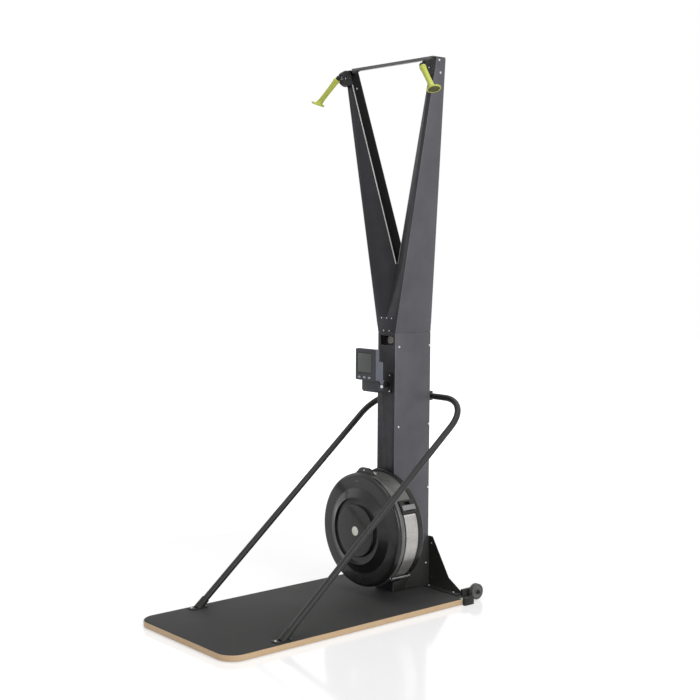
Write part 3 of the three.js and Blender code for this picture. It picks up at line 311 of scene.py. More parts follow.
# A round tube along a path, with its length in metres in the UV map.
def tubed(name, path, radius, look, sides=24):
    path = [Vector(point) for point in path]
    rings, lengths, length = [], [], 0
    tangent = (path[1] - path[0]).normalized()
    first, second, _ = across(tangent)
    for i, point in enumerate(path):
        before, after = path[max(i - 1, 0)], path[min(i + 1, len(path) - 1)]
        ahead = ((after - point).normalized() + (point - before).normalized()).normalized()
        turn = tangent.rotation_difference(ahead)
        first, second, tangent = turn @ first, turn @ second, ahead
        length += (point - before).length
        lengths.append(length)
        rings.append(circle(point, first, second, radius, sides))
    rings, lengths = [[path[0]], *rings, [path[-1]]], [0, *lengths, length]
    obj = shaped(name, skin(rings), look, sharp=60)
    mapLength(obj.data, rings, lengths, sides)
    return obj


def mapLength(mesh, rings, lengths, sides):
    layer = mesh.uv_layers.new(name="cordMap")
    places = [(k / sides, length) for ring, length in zip(rings, lengths) for k in range(len(ring))]
    for face in mesh.polygons:
        spots = [places[mesh.loops[i].vertex_index] for i in face.loop_indices]
        turns = [turn for turn, _ in spots]
        wraps = max(turns) - min(turns) > 0.5
        for i, (turn, length) in zip(face.loop_indices, spots):
            layer.data[i].uv = (turn + 1 if wraps and turn < 0.5 else turn, length)


# A flat outline pushed through a depth. Its plane is onXY, onXZ or onYZ.
def slabbed(outline, low, high, plane):
    count = len(outline)
    points = [plane(a, b, low) for a, b in outline] + [plane(a, b, high) for a, b in outline]
    faces = [list(range(count)), list(range(count, 2 * count))]
    faces += [[i, (i + 1) % count, count + (i + 1) % count, count + i] for i in range(count)]
    return points, faces


def onXY(a, b, c):
    return Vector((a, b, c))


def onXZ(a, b, c):
    return Vector((a, c, b))


def onYZ(a, b, c):
    return Vector((c, a, b))


def outAt(degrees):
    turn = math.radians(degrees)
    return Vector((math.cos(turn), 0, math.sin(turn)))


def aboutFan(out, radius, y):
    return fanAxis + out * radius + Vector((0, y, 0))


# A curved block about the fan's axis, between two radii, two angles and two places in Y.
def arcBlock(inner, outer, start, end, near, far, step=0.5):
    steps = max(2, math.ceil((end - start) / step))
    outs = [outAt(start + (end - start) * i / steps) for i in range(steps + 1)]
    corners = ((inner, near), (outer, near), (outer, far), (inner, far))
    return capped([[aboutFan(out, radius, y) for radius, y in corners] for out in outs])


# finishes


# Each input gets a link or a value.
def feed(tree, node, inputs):
    for key, value in inputs.items():
        if isinstance(value, bpy.types.NodeSocket):
            tree.links.new(value, node.inputs[key])
        else:
            node.inputs[key].default_value = value


def addNode(tree, kind, inputs=None, **settings):
    node = tree.nodes.new(kind)
    for key, value in settings.items():
        setattr(node, key, value)
    feed(tree, node, inputs or {})
    return node


def mathOf(tree, kind, first, second=0.0):
    return addNode(tree, "ShaderNodeMath", {0: first, 1: second}, operation=kind).outputs[0]


def combined(tree, **parts):
    return addNode(tree, "ShaderNodeCombineXYZ", parts).outputs[0]


def separated(tree, vector):
    return addNode(tree, "ShaderNodeSeparateXYZ", {"Vector": vector}).outputs


# sRGB 0-255 values as they look in daylight, turned into the linear values that a shader takes.
def seen(*tones):
    shares = [tone / 255 for tone in tones]
    return (*[c / 12.92 if c <= 0.04045 else ((c + 0.055) / 1.055) ** 2.4 for c in shares], 1)


def blank(name):
    material = bpy.data.materials.new(name)
    material.use_nodes = True
    return material, material.node_tree, material.node_tree.nodes["Principled BSDF"]


def noiseOf(tree, vector, scale, detail=3.0, roughness=0.55):
    inputs = {"Vector": vector, "Scale": scale, "Detail": detail, "Roughness": roughness}
    return addNode(tree, "ShaderNodeTexNoise", inputs).outputs["Fac"]


def mixed(tree, factor, first, second):
    return addNode(tree, "ShaderNodeMix", {0: factor, 6: first, 7: second}, data_type="RGBA").outputs[2]


def ranged(tree, value, low, high, toLow, toHigh):
    inputs = {"Value": value, "From Min": low, "From Max": high, "To Min": toLow, "To Max": toHigh}
    return addNode(tree, "ShaderNodeMapRange", inputs).outputs["Result"]


# From the first colour at the low value to the second at the high one, or to a share of it.
def blended(tree, value, first, second, low=0.3, high=0.7, most=1):
    return mixed(tree, ranged(tree, value, low, high, 0, most), first, second)


def objectPlace(tree, scale=(1, 1, 1)):
    place = addNode(tree, "ShaderNodeTexCoord").outputs["Object"]
    return addNode(tree, "ShaderNodeMapping", {"Vector": place, "Scale": scale}).outputs["Vector"]


def bumped(tree, height, depth, strength):
    inputs = {"Height": height, "Distance": depth, "Strength": strength}
    return addNode(tree, "ShaderNodeBump", inputs).outputs["Normal"]


# Paint, plastic, rubber and plain metal share one build: mottled colour, uneven gloss, fine grain.
plainLook = {
    "stretch": (1, 1, 1), "cloudScale": 9, "grainScale": 1400, "speckScale": 700, "smudgeScale": 30, "metal": 0,
    "specular": 0.5, "coat": 0, "coatRough": 0.2, "depth": 0, "depthRadius": (0.004, 0.003, 0.002),
    "grainDepth": 0.00006, "grainStrength": 0.5,
}


def surface(name, changes):
    look = {**plainLook, **changes}
    material, tree, shader = blank(name)
    place = objectPlace(tree, look["stretch"])
    cloud = noiseOf(tree, place, look["cloudScale"], 5)
    grain = noiseOf(tree, place, look["grainScale"], 2)
    base = blended(tree, cloud, look["dark"], look["light"])
    if "speck" in look:
        speckle = noiseOf(tree, place, look["speckScale"], 1)
        base = blended(tree, speckle, base, look["speck"], 0.62, 0.7, look["speckAmount"])
    smudge = noiseOf(tree, place, look["smudgeScale"], 4)
    feed(tree, shader, {
        "Base Color": base, "Roughness": ranged(tree, smudge, 0.3, 0.7, *look["rough"]), "Metallic": look["metal"],
        "Specular IOR Level": look["specular"], "Coat Weight": look["coat"], "Coat Roughness": look["coatRough"],
        "Subsurface Weight": look["depth"], "Subsurface Radius": look["depthRadius"],
        "Normal": bumped(tree, grain, look["grainDepth"], look["grainStrength"])})
    return material


plyLook = {"ply": 0.00168, "wobble": 0.0009, "glueShare": 0.1, "glueAmount": 0.45, "pale": seen(222, 198, 162),
           "paleDark": seen(208, 180, 142), "brown": seen(198, 166, 128), "brownDark": seen(176, 140, 102),
           "glue": seen(136, 102, 72), "rough": (0.45, 0.6), "coat": 0.12, "grainDepth": 0.00005,
           "grainStrength": 0.6, "wobbleScale": 14, "fibreStretch": (25, 25, 1400), "fibreScale": 6, "endScale": 900}


def plyEdge(look):
    material, tree, shader = blank("plywoodEdge")
    place = addNode(tree, "ShaderNodeTexCoord").outputs["Object"]
    wobble = mathOf(tree, "MULTIPLY", noiseOf(tree, place, look["wobbleScale"], 2), look["wobble"])
    height = mathOf(tree, "ADD", separated(tree, place)["Z"], wobble)
    plies = mathOf(tree, "DIVIDE", height, look["ply"])
    odd = mathOf(tree, "GREATER_THAN", mathOf(tree, "MODULO", plies, 2.0), 1.0)
    glue = mathOf(tree, "LESS_THAN", mathOf(tree, "FRACT", plies), look["glueShare"])
    fibre = noiseOf(tree, objectPlace(tree, look["fibreStretch"]), look["fibreScale"], 6, 0.7)
    ends = noiseOf(tree, objectPlace(tree), look["endScale"], 3)
    pale = blended(tree, fibre, look["paleDark"], look["pale"])
    brown = blended(tree, ends, look["brownDark"], look["brown"])
    base = blended(tree, glue, mixed(tree, odd, pale, brown), look["glue"], 0, 1, look["glueAmount"])
    feed(tree, shader, {"Base Color": base, "Roughness": ranged(tree, fibre, 0.3, 0.7, *look["rough"]),
                        "Coat Weight": look["coat"],
                        "Normal": bumped(tree, ends, look["grainDepth"], look["grainStrength"])})
    return material


deckTopLook = {"dark": seen(50, 50, 50), "light": seen(58, 58, 57), "scuff": seen(78, 78, 76), "scuffAmount": 0.35,
               "rough": (0.62, 0.74), "specular": 0.18, "pebbleScale": 700, "pebbleDepth": 0.0003,
               "pebbleStrength": 0.55, "cloudScale": 5, "scuffStretch": (40, 9, 1), "scuffScale": 3}


def deckTopFinish(look):
    material, tree, shader = blank("deckLaminate")
    place = objectPlace(tree)
    cloud = noiseOf(tree, place, look["cloudScale"], 4)
    scuff = noiseOf(tree, objectPlace(tree, look["scuffStretch"]), look["scuffScale"], 5, 0.75)
    base = blended(tree, cloud, look["dark"], look["light"], 0.35, 0.65)
    base = blended(tree, scuff, base, look["scuff"], 0.66, 0.8, look["scuffAmount"])
    cells = {"Vector": place, "Scale": look["pebbleScale"]}
    pebble = addNode(tree, "ShaderNodeTexVoronoi", cells, feature="SMOOTH_F1")
    relief = bumped(tree, pebble.outputs["Distance"], look["pebbleDepth"], look["pebbleStrength"])
    feed(tree, shader, {"Base Color": base, "Roughness": ranged(tree, cloud, 0.3, 0.7, *look["rough"]),
                        "Specular IOR Level": look["specular"], "Normal": relief})
    return material


braidLook = {"dark": seen(18, 18, 18), "light": seen(48, 48, 48), "strands": 8, "picks": 260, "rough": 0.75,
             "depth": 0.0003, "strength": 0.8}


def braid(look):
    material, tree, shader = blank("cordBraid")
    spot = separated(tree, addNode(tree, "ShaderNodeUVMap", uv_map="cordMap").outputs["UV"])
    turn = mathOf(tree, "MULTIPLY", spot["X"], look["strands"])
    run = mathOf(tree, "MULTIPLY", spot["Y"], look["picks"])
    waves = [mathOf(tree, "SINE", mathOf(tree, "MULTIPLY", mathOf(tree, way, turn, run), 2 * math.pi))
             for way in ("ADD", "SUBTRACT")]
    weave = mathOf(tree, "MAXIMUM", *waves)
    base = blended(tree, weave, look["dark"], look["light"], -1, 1)
    feed(tree, shader, {"Base Color": base, "Roughness": look["rough"],
                        "Normal": bumped(tree, weave, look["depth"], look["strength"])})
    return material


displayLook = {"dark": seen(72, 76, 75), "light": seen(80, 84, 82), "cellScale": 900, "rough": 0.4, "specular": 0.3,
               "coat": 0.15, "coatRough": 0.12, "cloudScale": 20}


def displayFinish(look):
    material, tree, shader = blank("displayPane")
    place = objectPlace(tree)
    cells = addNode(tree, "ShaderNodeTexChecker", {
        "Vector": place, "Scale": look["cellScale"], "Color1": look["dark"], "Color2": look["light"]})
    base = blended(tree, noiseOf(tree, place, look["cloudScale"], 2), cells.outputs["Color"], look["light"], most=0.5)
    feed(tree, shader, {"Base Color": base, "Roughness": look["rough"], "Specular IOR Level": look["specular"],
                        "Coat Weight": look["coat"], "Coat Roughness": look["coatRough"]})
    return material


bases = {
    "panel": {"grainScale": 1700, "specular": 0.25, "speck": seen(102, 101, 106), "speckAmount": 0.25},
    "front": {"grainScale": 1700, "specular": 0.25, "speck": seen(58, 57, 61), "speckAmount": 0.25},
    "black": {"grainScale": 1500, "grainDepth": 0.00008, "specular": 0.2},
    "mould": {"grainScale": 2600, "grainDepth": 0.00005, "specular": 0.4},
    "plain": {},
}
# base, dark tone, light tone, roughness, changes to the base
paints = {
    "panelPaint": ("panel", (80, 79, 84), (90, 89, 94), (0.4, 0.52), {}),
    "panelEdge": ("panel", (98, 97, 102), (114, 113, 118), (0.32, 0.42), {}),
    "frontPaint": ("front", (34, 33, 38), (41, 40, 45), (0.45, 0.58), {}),
    "frontEdge": ("front", (60, 59, 64), (76, 75, 80), (0.32, 0.42), {}),
    # painted shade: the front paint made near black, for the faces between the arms that the light misses
    "frontInner": ("front", (7, 7, 8), (12, 12, 13), (0.45, 0.58), {"speckAmount": 0.05, "specular": 0.06}),
    "blackSteel": ("black", (35, 35, 33), (42, 42, 40), (0.36, 0.48), {}),
    "blackEdge": ("black", (40, 40, 40), (54, 54, 54), (0.26, 0.36), {}),
    "tubeBlack": ("black", (30, 30, 30), (37, 37, 36), (0.36, 0.48), {"specular": 0.29}),
    "barPaint": ("black", (78, 78, 78), (92, 92, 92), (0.3, 0.4), {"specular": 0.4}),
    "mouldedBlack": ("mould", (24, 24, 25), (31, 31, 31), (0.38, 0.5), {"specular": 0.24}),
    "casePlastic": ("mould", (21, 21, 21), (29, 29, 28), (0.26, 0.36),
                    {"specular": 0.26, "coat": 0.2, "coatRough": 0.1}),
    # painted highlight: a pale, glossy copy of the black case plastic, for the skirt, the top wrap and the small mark
    # on the front
    "caseHighlight": ("mould", (80, 80, 78), (94, 94, 92), (0.26, 0.36), {"coat": 0.5, "coatRough": 0.15}),
    "mouldedGray": ("mould", (118, 118, 118), (134, 134, 134), (0.3, 0.4), {}),
    "monitorShell": ("mould", (82, 85, 96), (92, 95, 106), (0.36, 0.46), {}),
    "monitorFront": ("mould", (28, 29, 36), (34, 36, 43), (0.36, 0.46), {}),
    "perforatedSteel": ("plain", (196, 193, 190), (222, 219, 216), (0.3, 0.42),
                        {"metal": 0.85, "grainScale": 900, "stretch": (1, 0.08, 1), "cloudScale": 30}),
    "zinc": ("plain", (186, 186, 188), (214, 214, 216), (0.25, 0.4),
             {"metal": 0.75, "cloudScale": 200, "grainScale": 1800}),
    "trimSteel": ("plain", (178, 178, 176), (200, 200, 198), (0.35, 0.45), {"metal": 0.2}),
    "rubber": ("plain", (30, 30, 30), (39, 39, 39), (0.7, 0.85),
               {"grainScale": 1200, "grainDepth": 0.0001, "specular": 0.25}),
    "wheelRubber": ("plain", (70, 70, 68), (82, 82, 80), (0.4, 0.55),
                    {"grainScale": 900, "grainDepth": 0.00008, "specular": 0.45}),
    "limeGrip": ("plain", (176, 184, 76), (190, 198, 92), (0.5, 0.62),
                 {"grainScale": 1100, "grainDepth": 0.00005, "depth": 0.06, "specular": 0.3}),
    # painted shade: a dark olive copy of the lime, for the recess in the end of each flange
    "limeShade": ("plain", (66, 66, 36), (80, 80, 44), (0.6, 0.75), {"grainScale": 900}),
    "nylon": ("plain", (206, 202, 188), (222, 219, 206), (0.35, 0.5), {"depth": 0.1}),
    "keyRubber": ("plain", (158, 162, 168), (172, 176, 182), (0.55, 0.7), {}),
    "castIron": ("plain", (70, 70, 72), (96, 96, 98), (0.5, 0.7),
                 {"metal": 0.7, "grainScale": 500, "grainDepth": 0.0004}),
    "wheelHub": ("mould", (92, 92, 90), (106, 106, 104), (0.34, 0.44), {}),
    "badge": ("plain", (234, 236, 220), (244, 246, 232), (0.3, 0.42), {"cloudScale": 60}),
}
finishes = {}
for paintName, (base, dark, light, rough, changes) in paints.items():
    tones = {"dark": seen(*dark), "light": seen(*light), "rough": rough}
    finishes[paintName] = surface(paintName, {**bases[base], **tones, **changes})
finishes.update(ply=plyEdge(plyLook), laminate=deckTopFinish(deckTopLook), braid=braid(braidLook),
                display=displayFinish(displayLook))
print("finishes built:", len(finishes))

# repeats made by node trees


# The inputs' values tell their kinds. A material has none yet.
def newTree(name, inputs):
    tree = bpy.data.node_groups.new(name, "GeometryNodeTree")
    tree.interface.new_socket("Geometry", in_out="INPUT", socket_type="NodeSocketGeometry")
    for label, value in inputs.items():
        kind = "Material" if value is None else "Int" if isinstance(value, int) else "Float"
        socket = tree.interface.new_socket(label, in_out="INPUT", socket_type="NodeSocket" + kind)
        if value is not None:
            socket.default_value = value
    tree.interface.new_socket("Geometry", in_out="OUTPUT", socket_type="NodeSocketGeometry")
    return tree, tree.nodes.new("NodeGroupInput").outputs, tree.nodes.new("NodeGroupOutput")


def grown(name, tree, values, points=((0, 0, 0),), facing=None):
    mesh = bpy.data.meshes.new(name)
    mesh.from_pydata([tuple(point) for point in points], [], [])
    if facing:
        layer = mesh.attributes.new("facing", "FLOAT_VECTOR", "POINT")
        layer.data.foreach_set("vector", [value for way in facing for value in way])
    obj = linked(name, mesh)
    modifier = obj.modifiers.new(tree.name, "NODES")
    modifier.node_group = tree
    for item in tree.interface.items_tree:
        if item.item_type == "SOCKET" and item.in_out == "INPUT" and item.name in values:
            modifier[item.identifier] = values[item.name]
    return plain(obj, 30)


def finishTree(tree, geometry, material, out):
    real = addNode(tree, "GeometryNodeRealizeInstances", {"Geometry": geometry})
    coated = addNode(tree, "GeometryNodeSetMaterial", {"Geometry": real.outputs[0], "Material": material})
    tree.links.new(coated.outputs[0], out.inputs[0])
    return tree


def extruded(tree, mesh, offset, picked=None, each=False):
    inputs = {"Mesh": mesh, "Offset Scale": offset, "Individual": each}
    if picked:
        inputs["Selection"] = picked
    return addNode(tree, "GeometryNodeExtrudeMesh", inputs, mode="FACES").outputs


def topScaled(tree, raised, share):
    inputs = {"Geometry": raised["Mesh"], "Selection": raised["Top"], "Scale": share}
    return addNode(tree, "GeometryNodeScaleElements", inputs, domain="FACE").outputs[0]


# One screw head on each point, turned to face the way that the point's facing says.
def screwTree():
    tree, given, out = newTree("screwHeads", {
        "Head Radius": 0.004, "Head Height": 0.002, "Dome Share": 0.7, "Socket Share": 0.55, "Socket Depth": 0.0012,
        "Sides": 20, "Finish": None})
    disc = addNode(tree, "GeometryNodeMeshCylinder", {
        "Vertices": given["Sides"], "Radius": given["Head Radius"], "Depth": given["Head Height"]}).outputs
    lift = mathOf(tree, "MULTIPLY", given["Head Height"], 0.5)
    seated = addNode(tree, "GeometryNodeTransform", {"Geometry": disc["Mesh"], "Translation": combined(tree, Z=lift)})
    dome = extruded(tree, seated.outputs[0], lift, disc["Top"])
    rim = extruded(tree, topScaled(tree, dome, given["Dome Share"]), 0.0, dome["Top"])
    down = mathOf(tree, "MULTIPLY", given["Socket Depth"], -1.0)
    socket = extruded(tree, topScaled(tree, rim, given["Socket Share"]), down, rim["Top"])
    way = addNode(tree, "GeometryNodeInputNamedAttribute", {"Name": "facing"}, data_type="FLOAT_VECTOR")
    turn = addNode(tree, "FunctionNodeAlignRotationToVector", {"Vector": way.outputs["Attribute"]}, axis="Z")
    placed = addNode(tree, "GeometryNodeInstanceOnPoints", {
        "Points": given["Geometry"], "Instance": socket["Mesh"], "Rotation": turn.outputs["Rotation"]})
    return finishTree(tree, placed.outputs[0], given["Finish"], out)


# A flat sheet of six-sided cells, each with a hole, given a thickness and bent about the fan's axis.
def perforatedTree():
    tree, given, out = newTree("perforatedSheet", {
        "Length": 0.86, "Width": 0.08, "Columns": 158, "Rows": 18, "Hole Share": 0.62, "Margin": 0.005,
        "Radius": 0.223, "Thickness": 0.001, "Start": 0.0, "Middle": 0.29, "Height": 0.29, "Finish": None})

    def calc(kind, first, second=0.0):
        return mathOf(tree, kind, first, second)

    def spot():
        return separated(tree, addNode(tree, "GeometryNodeInputPosition").outputs[0])

    grid = addNode(tree, "GeometryNodeMeshGrid", {
        "Size X": given["Length"], "Size Y": given["Width"],
        "Vertices X": given["Columns"], "Vertices Y": given["Rows"]})
    index = addNode(tree, "GeometryNodeInputIndex").outputs[0]
    odd = calc("MODULO", calc("MODULO", index, given["Rows"]), 2.0)
    pitch = calc("DIVIDE", given["Length"], given["Columns"])
    shift = calc("MULTIPLY", calc("SUBTRACT", odd, 0.5), calc("MULTIPLY", pitch, 0.5))
    moved = addNode(tree, "GeometryNodeSetPosition", {
        "Geometry": grid.outputs["Mesh"], "Offset": combined(tree, X=shift)})
    three = addNode(tree, "GeometryNodeTriangulate", {"Mesh": moved.outputs[0]})
    cells = addNode(tree, "GeometryNodeDualMesh", {"Mesh": three.outputs[0], "Keep Boundaries": True})
    flat, limits = spot(), []
    for axis, size in (("X", "Length"), ("Y", "Width")):
        reach = calc("SUBTRACT", calc("MULTIPLY", given[size], 0.5), given["Margin"])
        limits.append(calc("LESS_THAN", calc("ABSOLUTE", flat[axis]), reach))
    rings = extruded(tree, cells.outputs[0], 0.0, calc("MULTIPLY", *limits), each=True)
    drawn = topScaled(tree, rings, given["Hole Share"])
    holed = addNode(tree, "GeometryNodeDeleteGeometry", {"Geometry": drawn, "Selection": rings["Top"]}, domain="FACE")
    thick = extruded(tree, holed.outputs[0], given["Thickness"])
    under = addNode(tree, "GeometryNodeFlipFaces", {"Mesh": holed.outputs[0]})
    both = addNode(tree, "GeometryNodeJoinGeometry")
    for layer in (thick["Mesh"], under.outputs[0]):
        tree.links.new(layer, both.inputs[0])
    welded = addNode(tree, "GeometryNodeMergeByDistance", {"Geometry": both.outputs[0], "Distance": 0.00001})
    flat = spot()
    along = calc("ADD", flat["X"], calc("MULTIPLY", given["Length"], 0.5))
    angle = calc("SUBTRACT", given["Start"], calc("DIVIDE", along, given["Radius"]))
    radius = calc("ADD", flat["Z"], given["Radius"])
    bent = combined(
        tree, X=calc("MULTIPLY", radius, calc("COSINE", angle)), Y=calc("ADD", flat["Y"], given["Middle"]),
        Z=calc("ADD", calc("MULTIPLY", radius, calc("SINE", angle)), given["Height"]))
    curved = addNode(tree, "GeometryNodeSetPosition", {"Geometry": welded.outputs[0], "Position": bent})
    return finishTree(tree, curved.outputs[0], given["Finish"], out)


# One thin blade per point of a circle, turned to stand outward from its middle.
def bladeTree():
    tree, given, out = newTree("rotorBlades", {
        "Blade Count": 14, "Ring Radius": 0.117, "Blade Length": 0.146, "Blade Thickness": 0.003,
        "Blade Depth": 0.034, "Middle": 0.281, "Height": 0.292, "Finish": None})
    ring = addNode(tree, "GeometryNodeMeshCircle", {"Vertices": given["Blade Count"], "Radius": given["Ring Radius"]})
    size = combined(tree, X=given["Blade Length"], Y=given["Blade Thickness"], Z=given["Blade Depth"])
    blade = addNode(tree, "GeometryNodeMeshCube", {"Size": size})
    spot = addNode(tree, "GeometryNodeInputPosition").outputs[0]
    turn = addNode(tree, "FunctionNodeAlignRotationToVector", {"Vector": spot}, axis="X")
    placed = addNode(tree, "GeometryNodeInstanceOnPoints", {
        "Points": ring.outputs["Mesh"], "Instance": blade.outputs["Mesh"], "Rotation": turn.outputs["Rotation"]})
    centre = combined(tree, Y=given["Middle"], Z=given["Height"])
    upright = addNode(tree, "GeometryNodeTransform", {
        "Geometry": placed.outputs[0], "Translation": centre, "Rotation": (math.pi / 2, 0, 0)})
    return finishTree(tree, upright.outputs[0], given["Finish"], out)


screws = screwTree()
plainScrew = {"finish": "zinc", "dome": 0.7, "socket": 0.55, "depth": 0.0012, "sides": 24}
# the heads' radius and height, and what else departs from the plain screw
screwSizes = {
    "junctionRivets": (0.0027, 0.0014, {"socket": 0.4, "depth": 0.0006}),
    "sideScrews": (0.0046, 0.0022, {}),
    "gussetScrews": (0.0045, 0.002, {}),
    "gussetBolts": (0.0045, 0.002, {"finish": "blackEdge"}),
    "flangeScrew": (0.003, 0.0014, {}),
    "pulleyBoltHeads": (0.0075, 0.0024,
                        {"finish": "blackEdge", "dome": 0.72, "socket": 0.6, "depth": 0.0018, "sides": 32}),
    "housingScrews": (0.0026, 0.0012, {"depth": 0.0008}),
    "caseScrews": (0.0036, 0.0018, {"depth": 0.001}),
    "monitorPivotHeads": (0.007, 0.0036, {"dome": 0.8, "socket": 0.5, "depth": 0.0022, "sides": 32}),
    "monitorArmRivets": (0.003, 0.0014, {"socket": 0.4, "depth": 0.0006}),
    "wheelBolt": (0.0072, 0.0028, {"finish": "blackEdge", "dome": 0.72, "socket": 0.6, "depth": 0.002, "sides": 32}),
}


# Each place is a point and the way that its screw faces.
def screwsAt(label, places, side="", body="root"):
    radius, height, changes = screwSizes[label]
    size = {**plainScrew, **changes}
    values = {"Head Radius": radius, "Head Height": height, "Dome Share": size["dome"],
              "Socket Share": size["socket"], "Socket Depth": size["depth"], "Sides": size["sides"],
              "Finish": finishes[size["finish"]]}
    facing = [Vector(way).normalized() for _, way in places]
    name = f"{label}_{side}" if side else label
    settle(grown(name, screws, values, [place for place, _ in places], facing), body, "bolt_steel")


print("node trees built")

# deck

deck = {"halfWidth": 0.2985, "front": -0.635, "rear": 0.515, "frontCorner": 0.07, "rearCorner": 0.016,
        "bottom": 0.0023, "boardTop": 0.0241, "top": 0.0254, "laminateInset": 0.002,
        "boardRound": 0.0028, "laminateRound": 0.0008}
trim = {"inner": 0.2835, "outer": 0.299, "near": 0.4985, "far": 0.5148, "corner": 0.0155,
        "low": 0.0035, "high": 0.0258}


def deckOutline(inset, steps=14):
    half, near, far = deck["halfWidth"] - inset, deck["front"] + inset, deck["rear"] - inset
    a, b = deck["frontCorner"] - inset, deck["rearCorner"] - inset
    return softCorners([(-half, near, a), (half, near, a), (half, far, b), (-half, far, b)], steps, closed=True)


def makeDeck():
    board = slabbed(deckOutline(0), deck["bottom"], deck["boardTop"], onXY)
    made("deckBoard", board, "ply", "root", "plywood", "deck_board", bevel=(deck["boardRound"], 3))
    top = slabbed(deckOutline(deck["laminateInset"]), deck["boardTop"], deck["top"], onXY)
    made("deckTop", top, "laminate", "root", "laminate", "deck_surface", bevel=(deck["laminateRound"],))
    for place in ("front", "rear"):
        pad = nodeCopy(f"deck_pad_{place}", f"deckPad_{place}", "rubber")
        settle(bevelled(pad, 0.0006), "root", "rubber", f"deck_pad_{place}")
    for name, way in bothSides:
        inner, outer, near, far = way * trim["inner"], way * trim["outer"], trim["near"], trim["far"]
        corners = [(inner, near), (outer, near), (outer, far, trim["corner"]), (inner, far)]
        corner = slabbed(softCorners(corners, 10, closed=True), trim["low"], trim["high"], onXY)
        made(f"deckCorner_{name}", corner, "trimSteel", "root", "black_steel", bevel=(0.0006,))


makeDeck()
print("deck made")

# sheet metal of the tower, arms, gussets and cross member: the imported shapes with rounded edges

sheetPieces = {
    "panel_paint": ("panelPaint panelEdge", 0.0012, [
        "tower_side_left", "tower_side_right", "arm_outer_left", "arm_outer_right"]),
    "dark_paint": ("frontPaint frontEdge frontInner", 0.001, [
        "tower_front_panel", "tower_rear_panel", "arm_front_left", "arm_front_right",
        "arm_rear_left", "arm_rear_right", "junction_plate"]),
    "black_steel": ("blackSteel blackEdge", 0.0011, [
        "gusset_left", "gusset_right", "rear_cross_member", "brace_clamp"]),
}
# A black plate, low down on each side, runs from the gusset to the tower's front corner and makes that corner dark.
toe = {"inside": 0.0524, "outside": 0.0549,
       "outline": [(0.3535, 0.0257), (0.4129, 0.0257), (0.4129, 0.0357), (0.4411, 0.0797), (0.3535, 0.0697)]}


def camel(node):
    first, *rest = node.split("_")
    return first + "".join(word.capitalize() for word in rest)


# The faces of an arm's front that turn to the other arm get painted shade: a near-black copy of the front paint.
def paintShadeInside(obj, way):
    for polygon in obj.data.polygons:
        inward = -polygon.normal.x * way
        if inward > 0.6 and polygon.material_index == 0:
            polygon.material_index = 2


def makeSheets():
    for slotName, (look, width, nodes) in sheetPieces.items():
        for node in nodes:
            sheet = bevelled(nodeCopy(node, camel(node), look), width, edgeFinish=True)
            if node.startswith("arm_front"):
                paintShadeInside(sheet, 1 if node.endswith("right") else -1)
            settle(sheet, "root", slotName, node)
    plate = slabbed(toe["outline"], toe["inside"], toe["outside"], onYZ)
    for name, way in bothSides:
        made(f"gussetToe_{name}", sided(plate, way), "blackSteel", "root", "black_steel", bevel=(0.0008,))


makeSheets()
print("sheet metal made")

# brace: one bent tube, its two feet

brace = {"radius": 0.0125, "half": 0.266, "top": 0.811, "bend": 0.146, "footY": -0.381, "tubeY": 0.5671,
         "deckTop": 0.0254, "wide": 0.036, "long": 0.074, "thick": 0.004, "corner": 0.007, "sleeve": 0.0158,
         "sleeveLength": 0.026, "sleeveRound": 0.0008, "gap": 0.0003, "clear": (0.06, 0.1, 0.08)}


def bracePath(steps=26):
    angle = math.atan2(brace["top"] - brace["deckTop"], brace["tubeY"] - brace["footY"])
    lift = brace["deckTop"] + 2 * brace["gap"] + brace["thick"] + brace["radius"] * math.cos(angle)
    foot = Vector((brace["half"], brace["footY"] + (lift - brace["deckTop"]) / math.tan(angle), lift))
    top = Vector((brace["half"], brace["tubeY"], brace["top"]))
    corners = sidewise([foot, top], -1) + [top, foot]
    path = [corners[0]]
    for i in (1, 2):
        path += roundCorner(*corners[i - 1:i + 2], brace["bend"], steps)
    return [*path, foot], foot, angle


def makeBrace():
    path, foot, angle = bracePath()
    settle(tubed("braceTube", path, brace["radius"], "tubeBlack", 40), "root", "black_steel", "brace_tube")
    low, high = brace["deckTop"] + brace["gap"], brace["deckTop"] + brace["gap"] + brace["thick"]
    outer, end, edge = (brace[key] for key in ("sleeve", "sleeveLength", "sleeveRound"))
    bore, (clearX, clearY, clearZ) = brace["radius"] + brace["gap"], brace["clear"]
    profile = [(bore, 0.0), (bore, end), (outer - edge, end), (outer, end - edge), (outer, -end), (bore, -end)]
    along = (0, math.cos(angle), math.sin(angle))
    for name, side in bothSides:
        x, wide, long = side * foot.x, brace["wide"] / 2, brace["long"] / 2
        outline = rectangle(x - wide, x + wide, brace["footY"] - long, brace["footY"] + long, brace["corner"], 6)
        plate = shaped(f"braceFoot_{name}", slabbed(outline, low, high, onXY), "blackSteel blackEdge")
        sleeve = shaped("sleeve", turned(profile, (x, foot.y, foot.z), along, 40, closed=True), "tubeBlack")
        below = rectangle(x - clearX, x + clearX, foot.y - clearY, foot.y + clearY)
        carved(sleeve, [shaped("below", slabbed(below, low - clearZ, (low + high) / 2, onXY), "blackSteel")])
        bevelled(plate, 0.0009, edgeFinish=True)
        settle(carved(plate, [sleeve], union=True), "root", "black_steel", f"brace_foot_{name}")


makeBrace()
print("brace made")

# screws and rivets on the sheet metal

seam, crotch, armTop = 1.078, 1.345, 2.1397
armSpread = {"outerLow": 0.052, "outerMore": 0.215, "innerLow": 0.00015, "innerMore": 0.23935}
rivetRows, rivetY = {1.137: (-0.031, -0.001, 0.028), 1.087: (-0.018, 0.015)}, 0.352
panelSide, panelScrews = 0.052, ((0.372, 1.023), (0.541, 1.023), (0.372, 0.7), (0.541, 0.7), (0.541, 0.436))
armLean, armScrews = -0.2025, ((0.366, 2.131), (0.382, 2.086))
